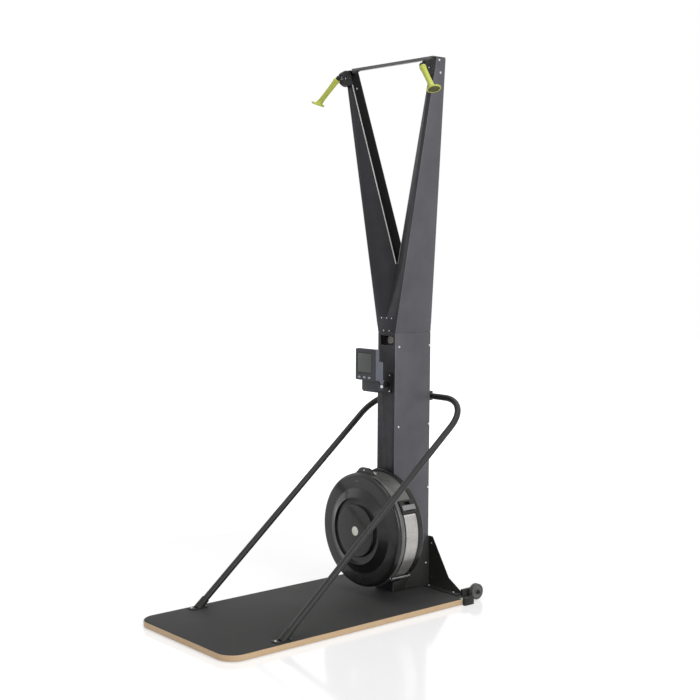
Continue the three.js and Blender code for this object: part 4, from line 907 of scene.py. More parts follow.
# places on the right side, each with the way that its screw faces
gussetScrews = {
    "gussetScrews": [
        ((0.071, 0.5483, 0.203), front), ((0.0553, 0.532, 0.12), sideWay), ((0.075, 0.533, 0.0287), upWay),
        ((0.215, 0.533, 0.0287), upWay), ((0.266, -0.41, 0.0297), upWay)],
    "gussetBolts": [
        ((0.071, 0.5483, 0.06), front), ((0.2, 0.5483, 0.044), front), ((0.0553, 0.445, 0.05), sideWay),
        ((0.14, 0.533, 0.0287), upWay)],
}
flangeScrew = {"y": 0.372, "z": 2.068, "facing": (-1, 0, 0.3012), "sunk": 0.0003}


def armOuter(z):
    return armSpread["outerLow"] + armSpread["outerMore"] * (z - seam) / (armTop - seam)


def armInner(z):
    return armSpread["innerLow"] + armSpread["innerMore"] * (z - crotch) / (armTop - crotch)


def makeScrews():
    rivets = [((x, rivetY, z), front) for z, row in rivetRows.items() for x in row]
    screwsAt("junctionRivets", rivets)
    flangePlace = (armInner(flangeScrew["z"]) - flangeScrew["sunk"], flangeScrew["y"], flangeScrew["z"])
    for name, way in bothSides:
        places = [((panelSide, y, z), sideWay) for y, z in panelScrews]
        places += [((armOuter(z), y, z), (1, 0, armLean)) for y, z in armScrews]
        rows = {"sideScrews": places, **gussetScrews, "flangeScrew": [(flangePlace, flangeScrew["facing"])]}
        for label, row in rows.items():
            screwsAt(label, [sidewise(pair, way) for pair in row], name)


makeScrews()
print("screws made")

# crossbar, the two arm caps, and a painted highlight down the inner front of each arm: a pale steel strip on the
# folded edge

bar = {"top": 2.15, "bottom": 2.138, "low": 2.129, "front": 0.36, "rear": 0.38, "flare": 0.034, "round": 0.03,
       "gap": 0.0003, "edge": 0.003}
cap = {"low": 2.14, "high": 2.143, "front": 0.352, "rear": 0.4, "outer": 0.267, "lap": 0.004, "corner": 0.004}
highlightStrip = {"front": 0.352, "back": 0.406, "low": 0.012, "high": 0.93, "inset": 0.0006, "width": 0.0042,
         "thickness": 0.0006}


def makeCrossbar():
    topEnd, lowEnd = armInner(armTop) - bar["gap"], armInner(bar["low"]) - bar["gap"]
    flare = lowEnd - bar["flare"]
    outline = softCorners([
        (-topEnd, bar["top"]), (-lowEnd, bar["low"]), (-flare, bar["bottom"], bar["round"]),
        (flare, bar["bottom"], bar["round"]), (lowEnd, bar["low"]), (topEnd, bar["top"])], 6, closed=True)
    shape = slabbed(outline, bar["front"], bar["rear"], onXZ)
    made("topCrossbar", shape, "barPaint", "root", "black_steel", "top_crossbar", bevel=(bar["edge"], 4))
    for name, way in bothSides:
        inner, outer, near, far = way * (topEnd - cap["lap"]), way * cap["outer"], cap["front"], cap["rear"]
        corners = [(inner, near), (outer, near, cap["corner"]), (outer, far, cap["corner"]), (inner, far)]
        shape = slabbed(softCorners(corners, 5, closed=True), cap["low"], cap["high"], onXY)
        made(f"armCap_{name}", shape, "blackSteel blackEdge", "root", "black_steel", bevel=(0.0009, 2, 35, True))


# A pale steel strip on the fold of each arm's inner front edge is a painted highlight, where the fold catches the
# light.
def makeEdgeHighlight(name, way):
    outer = Vector((armOuter(crotch), highlightStrip["front"], crotch))
    inner = Vector((armInner(crotch), highlightStrip["back"], crotch))
    top = Vector((armInner(armTop), highlightStrip["front"], armTop))
    run = (top - inner).normalized()
    proud = (inner - outer).cross(top - outer).normalized()
    proud = proud if proud.y < 0 else -proud
    beside = run.cross(proud).normalized()
    beside = beside if beside.x > 0 else -beside
    near, far, thick = highlightStrip["inset"], highlightStrip["inset"] + highlightStrip["width"], highlightStrip["thickness"]
    corners = ((near, 0), (far, 0), (far, thick), (near, thick))
    rings = [[inner.lerp(top, share) + beside * a + proud * b for a, b in corners]
             for share in (highlightStrip["low"], highlightStrip["high"])]
    made(f"armEdgeHighlight_{name}", sided(capped(rings), way), "trimSteel", "root", "dark_paint", bevel=(0.0002,))


makeCrossbar()
for name, way in bothSides:
    makeEdgeHighlight(name, way)
print("crossbar made")

# pulley heads

head = {"x": 0.244, "y": 0.335, "z": 2.107, "lean": math.atan2(0.2388, 1.06), "radius": 0.0315, "half": 0.0145,
        "round": 0.004, "rear": 0.0167, "tongueTop": 0.026, "tongueLow": 0.029, "slotHalf": 0.0068, "room": 0.027,
        "mouth": 0.005, "mouthDepth": 0.05, "cup": 0.01719, "relief": 0.015, "reliefDepth": 0.07, "track": 0.0238,
        "exit": 0.0206, "forward": 0.78, "stop": 0.01, "gap": 0.0003, "bolt": 0.004, "boltHalf": 0.0163,
        "cordRoom": (0, 0.0227, -0.027, 0.025), "tongueRound": 0.002, "behind": 0.06}
headScrews = {"pulleyBoltHeads": (0.0148, 0, 0), "housingScrews": (0.0145, -0.0145, -0.005)}
pulley = {"rim": 0.026, "root": 0.021, "half": 0.006, "groove": 0.003, "bore": 0.0043, "hub": 0.009, "dish": 0.002}
handle = {"axis": Vector((0.664, -0.213, -0.716)).normalized(), "start": 0.0073, "length": 0.136, "collar": 0.013,
          "grip": 0.012, "waist": 0.0106, "flare": 0.0054, "flange": 0.0276, "flangeThickness": 0.006,
          "offset": 0.008, "cone": 0.02, "round": 0.003, "flangeTilt": 22, "flangeShift": 0.005,
          "flangeSides": 80, "flangeRound": 0.002, "flangeLip": 0.0015, "ringStart": 0.0112, "ringEnd": 0.012,
          "ringStep": 0.0006, "bodyStart": 0.013, "coneShare": 0.7, "endRoom": 0.003, "floor": 0.0045}
downShare = math.sqrt(1 - head["forward"] ** 2)
exitWay = Vector((0, -head["forward"], -downShare))
exitTangent = Vector((0, -downShare, head["forward"])) * head["track"]
exitPoint = exitTangent + exitWay * head["exit"]
stopSpot = exitPoint + exitWay * (head["stop"] + head["gap"])
headPlace = Matrix.Translation((head["x"], head["y"], head["z"])) @ Matrix.Rotation(head["lean"], 4, "Y")


def inHead(shape, way):
    return sidewise([headPlace @ Vector(point) for point in shape[0]], way), shape[1]


def makeHousing(name, way):
    radius, half, edge, slot, rear = (head[key] for key in ("radius", "half", "round", "slotHalf", "rear"))
    profile = evenEnds([(0, -half), (radius - edge, -half)] + roundedRim(radius, half, edge))
    body = shaped(f"pulleyHousing_{name}", inHead(turned(profile, (0, 0, 0), sideWay, 96), way), "mouldedBlack")
    low, high, soft, behind = -head["tongueLow"], head["tongueTop"], head["tongueRound"], head["behind"]
    tongue = softCorners([(0, low), (rear, low, soft), (rear, high, soft), (0, high)], 4, closed=True)
    block = shaped("tongue", inHead(slabbed(tongue, -half, half, onYZ), way), "mouldedBlack")
    carved(body, [block], union=True)
    reliefWay = Matrix.Rotation(-head["lean"], 3, "Y") @ handle["axis"] * head["reliefDepth"]
    shapes = [
        rod(head["room"], -slot, slot, (0, 0, 0), sideWay, 72),
        slabbed(rectangle(*head["cordRoom"]), -slot, slot, onYZ),
        slabbed(rectangle(rear, behind, -behind, behind), -behind / 2, behind / 2, onYZ),
        rod(head["mouth"], 0, head["mouthDepth"], exitTangent, exitWay, 32),
        ball(head["cup"], stopSpot, exitWay, 24, 56),
        rod(head["relief"], 0, head["reliefDepth"], stopSpot, reliefWay, 56),
    ]
    carved(body, [shaped("cutter", inHead(shape, way), "mouldedBlack") for shape in shapes])
    settle(bevelled(body, 0.0006, 2, 40), "root", "black_plastic", f"pulley_housing_{name}")
    shank = rod(head["bolt"], -head["boltHalf"], head["boltHalf"], (0, 0, 0), sideWay, 32)
    made(f"pulleyBolt_{name}", inHead(shank, way), "blackEdge", "root", "bolt_steel", f"pulley_bolt_{name}")
    out = sidewise([headPlace.to_3x3() @ Vector(sideWay)], way)[0]
    for label, (x, y, z) in headScrews.items():
        outside, inside = inHead(([(x, y, z), (-x, y, z)], []), way)[0]
        screwsAt(label, [(outside, out), (inside, -out)], name)


def makePulley(name, way):
    half, groove, rim, root, bore, hub, dish = (
        pulley[key] for key in ("half", "groove", "rim", "root", "bore", "hub", "dish"))
    lead = [(bore, -half), (hub, -half), (hub + 0.001, -half + dish), (root - 0.003, -half + dish),
            (root - 0.002, -half), (rim - 0.0008, -half), (rim, -half + 0.0008),
            (rim, -groove - 0.0008), (rim - 0.0006, -groove)]
    turns = [math.pi * k / 8 for k in range(9)]
    track = [(root + (rim - 0.0012 - root) * abs(math.cos(t)) ** 1.4 + 0.0002, -groove * math.cos(t)) for t in turns]
    profile = lead + track + [(r, -p) for r, p in reversed(lead)]
    shape = inHead(turned(profile, (0, 0, 0), sideWay, 72, closed=True), way)
    made(f"topPulley_{name}", shape, "nylon", f"top_pulley_{name}", "nylon", f"top_pulley_{name}")


def gripProfile(start, end):
    cup, collar, waist, edge = head["stop"] + 2 * head["gap"], handle["collar"], handle["waist"], handle["round"]
    middle, cone, body = (start + end) / 2, end - handle["cone"], start + handle["bodyStart"]
    reach, coneStart = math.acos(start / cup), middle + (cone - middle) * handle["coneShare"]
    grip = [(cup * math.sin(reach * k / 8), cup * math.cos(reach * k / 8)) for k in range(9)]
    grip += roundedRim(collar, -start, edge, first=0)
    grip += [(collar, start + handle["ringStart"]), (collar - handle["ringStep"], start + handle["ringEnd"])]
    for share in (k / 12 for k in range(13)):
        grip.append((waist + (handle["grip"] - waist) * (1 - share) ** 1.6, body + (middle - body) * share))
    coneLength = end - handle["endRoom"] - coneStart
    for share in (k / 10 for k in range(1, 11)):
        grip.append((waist + handle["flare"] * share ** 2.2, coneStart + coneLength * share))
    return [*grip, (0, end - handle["floor"])]


def flangeProfile(end):
    rim, low = handle["flange"], end - handle["flangeThickness"]
    soft, lip, arc = handle["flangeRound"], handle["flangeLip"], (0.4, 0.8, 1.2, 1.5708)
    face = [(0, low), (rim - soft, low)]
    face += [(rim - soft + soft * math.sin(t), low + soft - soft * math.cos(t)) for t in arc]
    face += [(rim - lip + lip * math.cos(t), end - lip + lip * math.sin(t)) for t in (0, *arc)]
    return face + [(rim - 0.0045, end), (rim - 0.0055, end - 0.0006), (rim - 0.006, end - 0.0026), (0, end - 0.0026)]


def makeHandle(name, way):
    body, centre, axis = f"handle_{name}", headPlace @ stopSpot, handle["axis"]
    start, end, cone = handle["start"], handle["start"] + handle["length"], handle["cone"]
    stop = ball(head["stop"], centre, axis, 28, 48)
    made(f"cordStop_{name}", sided(stop, way), "rubber", f"cord_stop_{name}", "rubber", f"cord_stop_{name}")

    outward = (Vector(sideWay) - axis * axis.x).normalized()
    pivot = centre + axis * (end - handle["flangeThickness"] / 2) + outward * handle["offset"]
    tip = Quaternion(axis.cross(Vector((0, 0, -1))).normalized(), math.radians(handle["flangeTilt"]))

    def leant(point):
        return pivot + tip @ (point - pivot) - outward * handle["flangeShift"]

    points, faces = turned(gripProfile(start, end), centre, axis, 64)
    grip = []
    for point in points:
        share = max(0, min(1, ((point - centre).dot(axis) - (end - cone)) / (cone - handle["flangeThickness"])))
        grip.append(point.lerp(leant(point), share * share * (3 - 2 * share)))
    made(f"grip_{name}", sided((grip, faces), way), "limeGrip", body, "lime_grip", body, sharp=50)

    # The recess in the end of the flange, its wall and floor, gets painted shade: the dark olive copy of the lime.
    points, faces = turned(flangeProfile(end), centre + outward * handle["offset"], axis, handle["flangeSides"])
    hollowFrom = len(faces) - 2 * handle["flangeSides"]  # the last two bands of faces
    hollow = [int(i >= hollowFrom) for i in range(len(faces))]
    shape = sided(([leant(point) for point in points], faces), way)
    made(f"gripFlange_{name}", shape, "limeGrip limeShade", body, "lime_grip", faceFinish=hollow)


for name, way in bothSides:
    makeHousing(name, way)
    makePulley(name, way)
    makeHandle(name, way)
print("heads made")

# cords: the imported routes, finer, and a lead out of each head to its stop

cord = {"radius": 0.0025, "idler": Vector((0.019, 0.395, 1.047)), "idlerTrack": 0.0138, "drumTrack": 0.0228,
        "drumY": {"left": 0.383, "right": 0.409}, "step": 6, "leadRadius": 0.0023, "leadSteps": 90,
        "leadStart": 0.004, "leadSunk": 0.002}
returning = {"track": 0.0343, "y": 0.47, "post": 0.93, "radius": 0.004}


def wrapped(centre, radius, first, start, end):
    steps = max(2, math.ceil(abs(end - start) / cord["step"]))
    turns = [math.radians(start + (end - start) * k / steps) for k in range(steps + 1)]
    first, second = Vector(first) * radius, Vector(upWay) * radius
    return [Vector(centre) + first * math.cos(t) + second * math.sin(t) for t in turns]


def makeCords(name, way):
    over = wrapped((0, 0, 0), head["track"], front, math.degrees(math.asin(head["forward"])), 180)
    top = [headPlace @ point for point in [exitPoint - exitWay * head["gap"], *over]]
    idler = wrapped(cord["idler"], cord["idlerTrack"], sideWay, 180 - math.degrees(head["lean"]), 180)
    drum = wrapped((0, cord["drumY"][name], fanAxis.z), cord["drumTrack"], sideWay, 0, -180)
    drive = tubed(f"driveCord_{name}", sidewise(top + idler, way) + drum, cord["radius"], "braid", 16)
    settle(drive, "root", "cord", f"drive_cord_{name}")
    start, end = exitTangent + exitWay * cord["leadStart"], stopSpot - exitWay * (head["stop"] - cord["leadSunk"])
    steps = cord["leadSteps"]
    lead = sidewise([headPlace @ start.lerp(end, k / steps) for k in range(steps + 1)], way)
    piece = tubed(f"cordLead_{name}", lead, cord["leadRadius"], "braid", 12)
    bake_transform(piece)


def makeReturnCord():
    track, y = returning["track"], returning["y"]
    over = wrapped((0, y, returning["post"]), track, sideWay, 0, 180)
    path = [Vector((track, y, fanAxis.z)), *over, Vector((-track, y, fanAxis.z))]
    settle(tubed("returnCord", path, returning["radius"], "braid", 16), "root", "cord", "return_cord")


for name, way in bothSides:
    makeCords(name, way)
makeReturnCord()
print("cords made")

# idlers, drums, shaft and bearings

idler = {"rim": 0.0165, "root": 0.011, "half": 0.005, "groove": 0.003, "bore": 0.0033}
drumSize = {"rim": 0.03, "root": 0.02, "half": 0.01, "groove": 0.007, "bore": 0.0088}
shaftProfile = [(0, 0.232), (0.0075, 0.232), (0.0085, 0.233), (0.0085, 0.451), (0.0075, 0.452), (0, 0.452)]
bearings, bearingDepth = {"bearing_front": 0.3367, "bearing_rear": 0.44}, 0.012
bearingProfile = [(0.0088, 0), (0.0115, 0), (0.0122, 0.0008), (0.0162, 0.0008), (0.0168, 0),
                  (0.0193, 0), (0.02, 0.0007)]


def grooved(size):
    half, groove, rim, root, bore = (size[key] for key in ("half", "groove", "rim", "root", "bore"))
    lead = [(bore, -half), (bore + (root - bore) * 0.35, -half), (bore + (root - bore) * 0.45, -half + 0.0014),
            (root, -half + 0.0014), (root + 0.0012, -half), (rim - 0.0007, -half), (rim, -half + 0.0007),
            (rim, -groove - 0.0007)]
    middle = [(root + (rim - 0.0006 - root) * (abs(k / 5 - 1) ** 3), -groove + groove * k / 5) for k in range(11)]
    return lead + middle + [(r, -p) for r, p in reversed(lead)]


def makeTurnedParts():
    for name, way in bothSides:
        shape = turned(grooved(idler), sidewise([cord["idler"]], way)[0], deepWay, 64, closed=True)
        made(f"idler_{name}_fine", shape, "nylon", f"idler_{name}", "nylon", f"idler_{name}")
        shape = turned(grooved(drumSize), (0, cord["drumY"][name], fanAxis.z), deepWay, 72, closed=True)
        made(f"cordDrum_{name}", shape, "nylon", f"cord_drum_{name}", "nylon", f"cord_drum_{name}")
    made("fanShaft", turned(shaftProfile, fanAxis, deepWay, 48), "zinc", "fan", "bolt_steel", "fan_shaft")
    for node, low in bearings.items():
        ring = [(r, low + p) for r, p in bearingProfile]
        ring += [(r, low + bearingDepth - p) for r, p in reversed(bearingProfile)]
        made(camel(node), turned(ring, fanAxis, deepWay, 64, closed=True), "zinc", "root", "bolt_steel", node)
    bracket = nodeCopy("idler_bracket", "idlerBracket", "zinc")
    settle(bevelled(bracket, 0.0006), "root", "bolt_steel", "idler_bracket")


makeTurnedParts()
print("turned parts made")

# fan case: profiles are (radius, place in Y, rounding), blocks are (inner, outer, start, end, near, far, step)

frontShell = {
    "outer": [(0, 0.19, 0), (0.105, 0.19, 0.004), (0.105, 0.203, 0.0015), (0.13, 0.203, 0.0015),
              (0.13, 0.195, 0.0025), (0.1345, 0.195, 0.003), (0.17, 0.214, 0.02), (0.228, 0.214, 0.014),
              (0.228, 0.2482, 0.001), (0.2268, 0.2482, 0.0006), (0.2268, 0.251, 0.0004)],
    "inner": [(0.225, 0.251), (0.225, 0.228), (0.214, 0.217), (0.17, 0.217), (0.136, 0.201), (0.133, 0.206),
              (0.102, 0.206), (0.102, 0.196), (0.099, 0.193), (0, 0.193)],
    "skirt": [(0.2278, 0.2335), (0.2288, 0.2338), (0.2292, 0.2345), (0.2292, 0.2485),
              (0.2288, 0.2492), (0.2278, 0.2495)],
    "badge": [(0, 0.1897), (0.0178, 0.1897), (0.019, 0.1901), (0.019, 0.1908), (0, 0.1908)],
}
backShell = [(0.0203, 0.3337), (0.0273, 0.3337, 0.001), (0.0273, 0.3487, 0.002), (0.225, 0.3487, 0.002),
             (0.225, 0.324), (0.2268, 0.324, 0.0006), (0.2268, 0.3265, 0.0005), (0.228, 0.3265, 0.0008),
             (0.228, 0.3517, 0.006), (0.0203, 0.3517)]
caseBlocks = {
    "mouldMark": (0.196, 0.199, 92.2, 97.8, 0.2137, 0.216, 0.4),
    "clip": (0.2355, 0.238, -48.2, -44.6, 0.2405, 0.336),
    "cover": (0.2243, 0.2268, -132, -47.6, 0.2497, 0.3268, 1),
    "wrap": (0.2226, 0.2244, 38, 161.85, 0.247, 0.328, 0.8),
    "edge": (0.2243, 0.227, -47.5, 23.2, 0.2497, 0.2588, 0.8),
    "housing": (0.2226, 0.2244, 23.3, 37.85, 0.247, 0.328),
    "raised": (0.2235, 0.2354, 24.1, 37.5, 0.2513, 0.3237),
    "slot": (0.21, 0.25, 26, 35.5, 0.273, 0.302),
    "shutter": (0.2193, 0.2223, 12, 36, 0.261, 0.314),
    "stem": (0.221, 0.238, 26.5, 28.2, 0.276, 0.299),
    "cap": (0.2358, 0.2402, 27, 31.9, 0.2545, 0.3205),
}
tabs = {"angles": (184, -46.5, -133.5), "inner": 0.2266, "outer": 0.236, "half": 0.01, "corner": 0.003,
        "screw": 0.2315, "topScrew": 0.24, "screwY": 0.2372}
# the top tab's rise, and the tabs' near and far faces
tabRows = {"Front": (0.022, 0.237, 0.251), "Back": (0.010, 0.324, 0.338)}
topTab = {"start": 76, "sweep": 28, "steps": 28, "ramp": 0.34, "radius": 0.228, "least": 0.003}
band = {"start": 383.2, "end": 162, "radius": 0.2226, "seam": 0.1}


def caseBlock(key):
    return arcBlock(*caseBlocks[key])


def makeFrontShell():
    profile = [tuple(point) for point in softCorners(frontShell["outer"], 7)] + frontShell["inner"]
    shape = turned(profile, fanAxis, deepWay, 180)
    made("fanCaseFront", shape, "casePlastic", "root", "black_plastic", "fan_case_front")
    # The skirt ring and the mark are drawn in the pale case plastic: a painted highlight.
    skirt = turned(frontShell["skirt"], fanAxis, deepWay, 180, closed=True)
    made("caseSkirt", skirt, "caseHighlight", "root", "black_plastic")
    made("mouldMark", caseBlock("mouldMark"), "caseHighlight", "root", "black_plastic")
    made("fanBadge", turned(frontShell["badge"], fanAxis, deepWay, 72), "badge", "root", "black_plastic")
    makeTabs("Front")


def makeTabs(label):
    topRise, low, high = tabRows[label]
    inner, outer, half, corner = tabs["inner"], tabs["outer"], tabs["half"], tabs["corner"]
    corners = [(inner, -half), (outer, -half, corner), (outer, half, corner), (inner, half)]
    outline = softCorners(corners, 5, closed=True)
    for index, angle in enumerate(tabs["angles"]):
        out, beside = outAt(angle), outAt(angle + 90)
        shape = slabbed(outline, low, high, lambda a, b, c: aboutFan(out, a, c) + beside * b)
        made(f"caseTab{label}_{index}", shape, "casePlastic", "root", "black_plastic", bevel=(0.0008,))
    rings = []
    for share in (k / topTab["steps"] for k in range(topTab["steps"] + 1)):
        ease = min(1, min(share, 1 - share) / topTab["ramp"])
        rise = topTab["least"] + (topRise - topTab["least"]) * ease * ease * (3 - 2 * ease)
        out, crest = outAt(topTab["start"] + topTab["sweep"] * share), topTab["radius"] + rise
        rings.append([aboutFan(out, r, y) for r, y in ((inner, low), (crest, low), (crest, high), (inner, high))])
    made(f"topTab{label}", capped(rings), "casePlastic", "root", "black_plastic", bevel=(0.002, 3, 50))


def makeClip():
    made("caseClip", caseBlock("clip"), "zinc", "root", "bolt_steel", bevel=(0.0009, 3, 50))
    made("bandCover", caseBlock("cover"), "casePlastic", "root", "black_plastic", bevel=(0.0006, 2, 50))
    spots = [(90, tabs["topScrew"])] + [(angle, tabs["screw"]) for angle in reversed(tabs["angles"])]
    heads = [(aboutFan(outAt(angle), radius, tabs["screwY"]), front) for angle, radius in spots]
    screwsAt("caseScrews", heads)


def makeBackShell():
    profile = [tuple(point) for point in softCorners(backShell, 6)]
    shape = turned(profile, fanAxis, deepWay, 180, closed=True)
    made("fanCaseBack", shape, "casePlastic", "root", "black_plastic", "fan_case_back")
    makeTabs("Back")


def makeBand():
    values = {"Length": math.radians(band["start"] - band["end"]) * band["radius"], "Width": 0.081, "Columns": 158,
              "Rows": 18, "Hole Share": 0.62, "Margin": 0.0062, "Radius": band["radius"], "Thickness": 0.0016,
              "Start": math.radians(band["start"] - band["seam"]), "Middle": 0.2875, "Height": fanAxis.z,
              "Finish": finishes["perforatedSteel"]}
    settle(grown("perforatedBand", perforatedTree(), values), "root", "bright_steel", "perforated_band")
    # The top wrap is drawn in the pale case plastic: a painted highlight.
    made("topWrap", caseBlock("wrap"), "caseHighlight", "root", "black_plastic", "top_wrap")
    made("bandEdge", caseBlock("edge"), "casePlastic", "root", "black_plastic", bevel=(0.0006, 2, 50))


def makeDamper():
    cover = shaped("damperHousing", caseBlock("housing"), "casePlastic")
    raised = bevelled(shaped("raised", caseBlock("raised"), "casePlastic"), 0.003, 4, 50)
    carved(cover, [raised], union=True)
    carved(cover, [shaped("slot", caseBlock("slot"), "casePlastic")])
    settle(cover, "root", "black_plastic", "damper_housing")
    shutter = shaped("damperLever", caseBlock("shutter"), "casePlastic")
    stem = bevelled(shaped("stem", caseBlock("stem"), "casePlastic"), 0.0016, 3, 50)
    made("leverCap", caseBlock("cap"), "mouldedGray", "damper", "black_plastic", bevel=(0.0014, 3, 50))
    settle(carved(shutter, [stem], union=True), "damper", "black_plastic", "damper_lever")


rotorProfile = [(0.0088, 0.262), (0.024, 0.262), (0.026, 0.264), (0.026, 0.3), (0.184, 0.3), (0.184, 0.291),
                (0.185, 0.29), (0.195, 0.29), (0.196, 0.291), (0.196, 0.317), (0.195, 0.318),
                (0.185, 0.318), (0.184, 0.317), (0.184, 0.304), (0.026, 0.304), (0.026, 0.32),
                (0.024, 0.322), (0.0088, 0.322)]


def makeRotor():
    disc = turned(rotorProfile, fanAxis, deepWay, 120, closed=True)
    made("fanRotor", disc, "castIron", "fan", "cast_rotor", "fan_rotor")
    settle(grown("fanBlades", bladeTree(), {"Finish": finishes["castIron"]}), "fan", "cast_rotor")


makeFrontShell()
makeBackShell()
makeClip()
makeBand()
makeDamper()
makeRotor()
print("fan made")

# monitor: blocks are left, right, low, high, near, far, corner radius, corner steps

monitor = {
    "upper": (-0.064, 0.056, 0.892, 1.018, 0.242, 0.262, 0.006),
    "lower": (-0.0635, 0.0555, 0.8925, 0.968, 0.252, 0.284, 0.006),
    "pod": (-0.048, 0.048, 0.845, 0.898, 0.262, 0.294, 0.012, 10),
    "armRoom": (-0.0105, 0.0105, 0.82, 0.8845, 0.2645, 0.31),
    "paneRoom": (-0.055, 0.035, 0.92, 1.004, 0.23, 0.244, 0.005),
    "pane": (-0.0547, 0.0347, 0.9203, 1.0037, 0.2423, 0.2437, 0.0047),
    "keyRoom": (-0.0074, 0.0074, 0.8996, 0.9084, 0.23, 0.247, 0.003, 6),
    "key": (-0.007, 0.007, 0.9, 0.908, 0.2404, 0.2455, 0.003, 6),
    "armPlate": (-0.032, 0.032, 0.836, 0.918, 0.3477, 0.3517, 0.006),
    "armStem": (-0.01, 0.01, 0.858, 0.88, 0.28, 0.35, 0.002, 4),
    "armSlot": (0.0145, 0.027, 0.852, 0.857, 0.34, 0.36, 0.0024, 6),
}
keyPlaces, pivotSpot = (-0.04, -0.01, 0.02), (0, 0.28, 0.869)
pivot = {"radius": 0.004, "half": 0.0486, "headX": 0.0483, "bore": 0.0043, "boreHalf": 0.02}
darkFaces = {"ahead": 0.2442, "under": 0.8915}  # the case is darker ahead of and under these places
armRivets = ((-0.024, 0.908), (0.024, 0.908), (0.024, 0.844), (-0.024, 0.844))
border = {"outer": (-0.0547, 0.0347, 0.9203, 1.0037, 0.0047), "inner": (-0.051, 0.031, 0.924, 1.0, 0.002),
          "near": 0.24205, "far": 0.2423}
knuckle = [(0, -0.01), (0.014, -0.01), (0.015, -0.009), (0.015, 0.009), (0.014, 0.01), (0, 0.01)]
lug = {"near": 0.0477, "far": 0.0535,
       "outline": [(0.2625, 0.8945), (0.2905, 0.8945), (0.2885, 0.886), (0.2845, 0.8775, 0.002),
                   (0.2755, 0.8775, 0.002), (0.2695, 0.886)]}


def monitorBlock(key, x=0):
    left, right, low, high, near, far, *corner = monitor[key]
    return slabbed(rectangle(x + left, x + right, low, high, *corner), near, far, onXZ)


def makeMonitor():
    look = "monitorShell monitorFront"
    blocks = (("monitorCase", "upper", 0.002, 3), ("lower", "lower", 0.002, 3), ("pod", "pod", 0.003, 4))
    upper, lower, pod = (bevelled(shaped(name, monitorBlock(key), look), width, steps)
                         for name, key, width, steps in blocks)
    carved(upper, [lower, pod], union=True)
    rooms = [monitorBlock("armRoom"), monitorBlock("paneRoom")] + [monitorBlock("keyRoom", x) for x in keyPlaces]
    carved(upper, [shaped("cutter", room, look) for room in rooms])
    for polygon in upper.data.polygons:
        place = polygon.center
        polygon.material_index = int(place.y < darkFaces["ahead"] or place.z < darkFaces["under"])
    settle(upper, "monitor", "black_plastic", "monitor_case")
    made("displayPane", monitorBlock("pane"), "display", "monitor", "screen", "monitor_screen", bevel=(0.0004,))
    rings = [[Vector((a, border[y], b)) for a, b in rectangle(*border[line])] for line, y in (
        ("outer", "far"), ("outer", "near"), ("inner", "near"), ("inner", "far"))]
    made("displayBorder", skin(rings, closed=True), "mouldedBlack", "monitor", "black_plastic")
    for index, x in enumerate(keyPlaces, 1):
        node = f"monitor_button_{index}"
        made(f"monitorButton_{index}", monitorBlock("key", x), "keyRubber", f"button_{index}", "button", node,
             bevel=(0.0009, 3))
    shank = rod(pivot["radius"], -pivot["half"], pivot["half"], pivotSpot, sideWay, 32)
    made("monitorPivot", shank, "zinc", "monitor", "bolt_steel", "monitor_pivot")
    shape = slabbed(softCorners(lug["outline"], 4, closed=True), lug["near"], lug["far"], onYZ)
    for name, way in bothSides:
        made(f"monitorLug_{name}", sided(shape, way), "monitorShell", "monitor", "black_plastic", bevel=(0.0008,))
    heads = [((way * pivot["headX"], *pivotSpot[1:]), (way, 0, 0)) for _, way in bothSides]
    screwsAt("monitorPivotHeads", heads, body="monitor")


def makeMonitorArm():
    plate, stem = (shaped(name, monitorBlock(key), "mouldedBlack") for name, key in (
        ("monitorArm", "armPlate"), ("stem", "armStem")))
    joint = shaped("knuckle", turned(knuckle, pivotSpot, sideWay, 56), "mouldedBlack")
    bevelled(plate, 0.0008)
    carved(plate, [stem, joint], union=True)
    bore = rod(pivot["bore"], -pivot["boreHalf"], pivot["boreHalf"], pivotSpot, sideWay, 32)
    carved(plate, [shaped("cutter", room, "mouldedBlack") for room in (bore, monitorBlock("armSlot"))])
    settle(plate, "root", "black_plastic", "monitor_arm")
    screwsAt("monitorArmRivets", [((x, monitor["armPlate"][4], z), front) for x, z in armRivets])


makeMonitor()
makeMonitorArm()
print("monitor made")

# wheels

wheel = {"x": 0.2743, "y": 0.603, "z": 0.034, "half": 0.012, "radius": 0.032, "round": 0.005, "boltX": 0.2909}


def makeWheel(name, way):
    half, radius, rounding = wheel["half"], wheel["radius"], wheel["round"]
    tyre = [(0.0235, -half + 0.0012), (0.0243, -half + 0.0002), (radius - rounding, -half)]
    tyre += roundedRim(radius, half, rounding) + [(radius, -0.0018), (radius - 0.0009, -0.0009)]
    hub = [(0.0053, -half + 0.0008), (0.0115, -half + 0.0004), (0.0128, -half + 0.0016), (0.0136, -half + 0.0042),
           (0.0222, -half + 0.0034), (0.0226, -half + 0.0012), (0.0238, -half + 0.001)]
    spot, node = (way * wheel["x"], wheel["y"], wheel["z"]), f"wheel_{name}"
    tyreShape, hubShape = (turned(evenEnds(profile), spot, sideWay, count, closed=True)
                           for profile, count in ((tyre, 112), (hub, 96)))
    made(f"wheelTyre_{name}", tyreShape, "wheelRubber", node, "rubber", node)
    made(f"wheelHub_{name}", hubShape, "wheelHub", node, "rubber")
    bolt = [((way * wheel["boltX"], wheel["y"], wheel["z"]), (way, 0, 0))]
    screwsAt("wheelBolt", bolt, name)


for name, way in bothSides:
    makeWheel(name, way)
print("wheels made")

# room: a pale floor, soft light from the right, the front and above

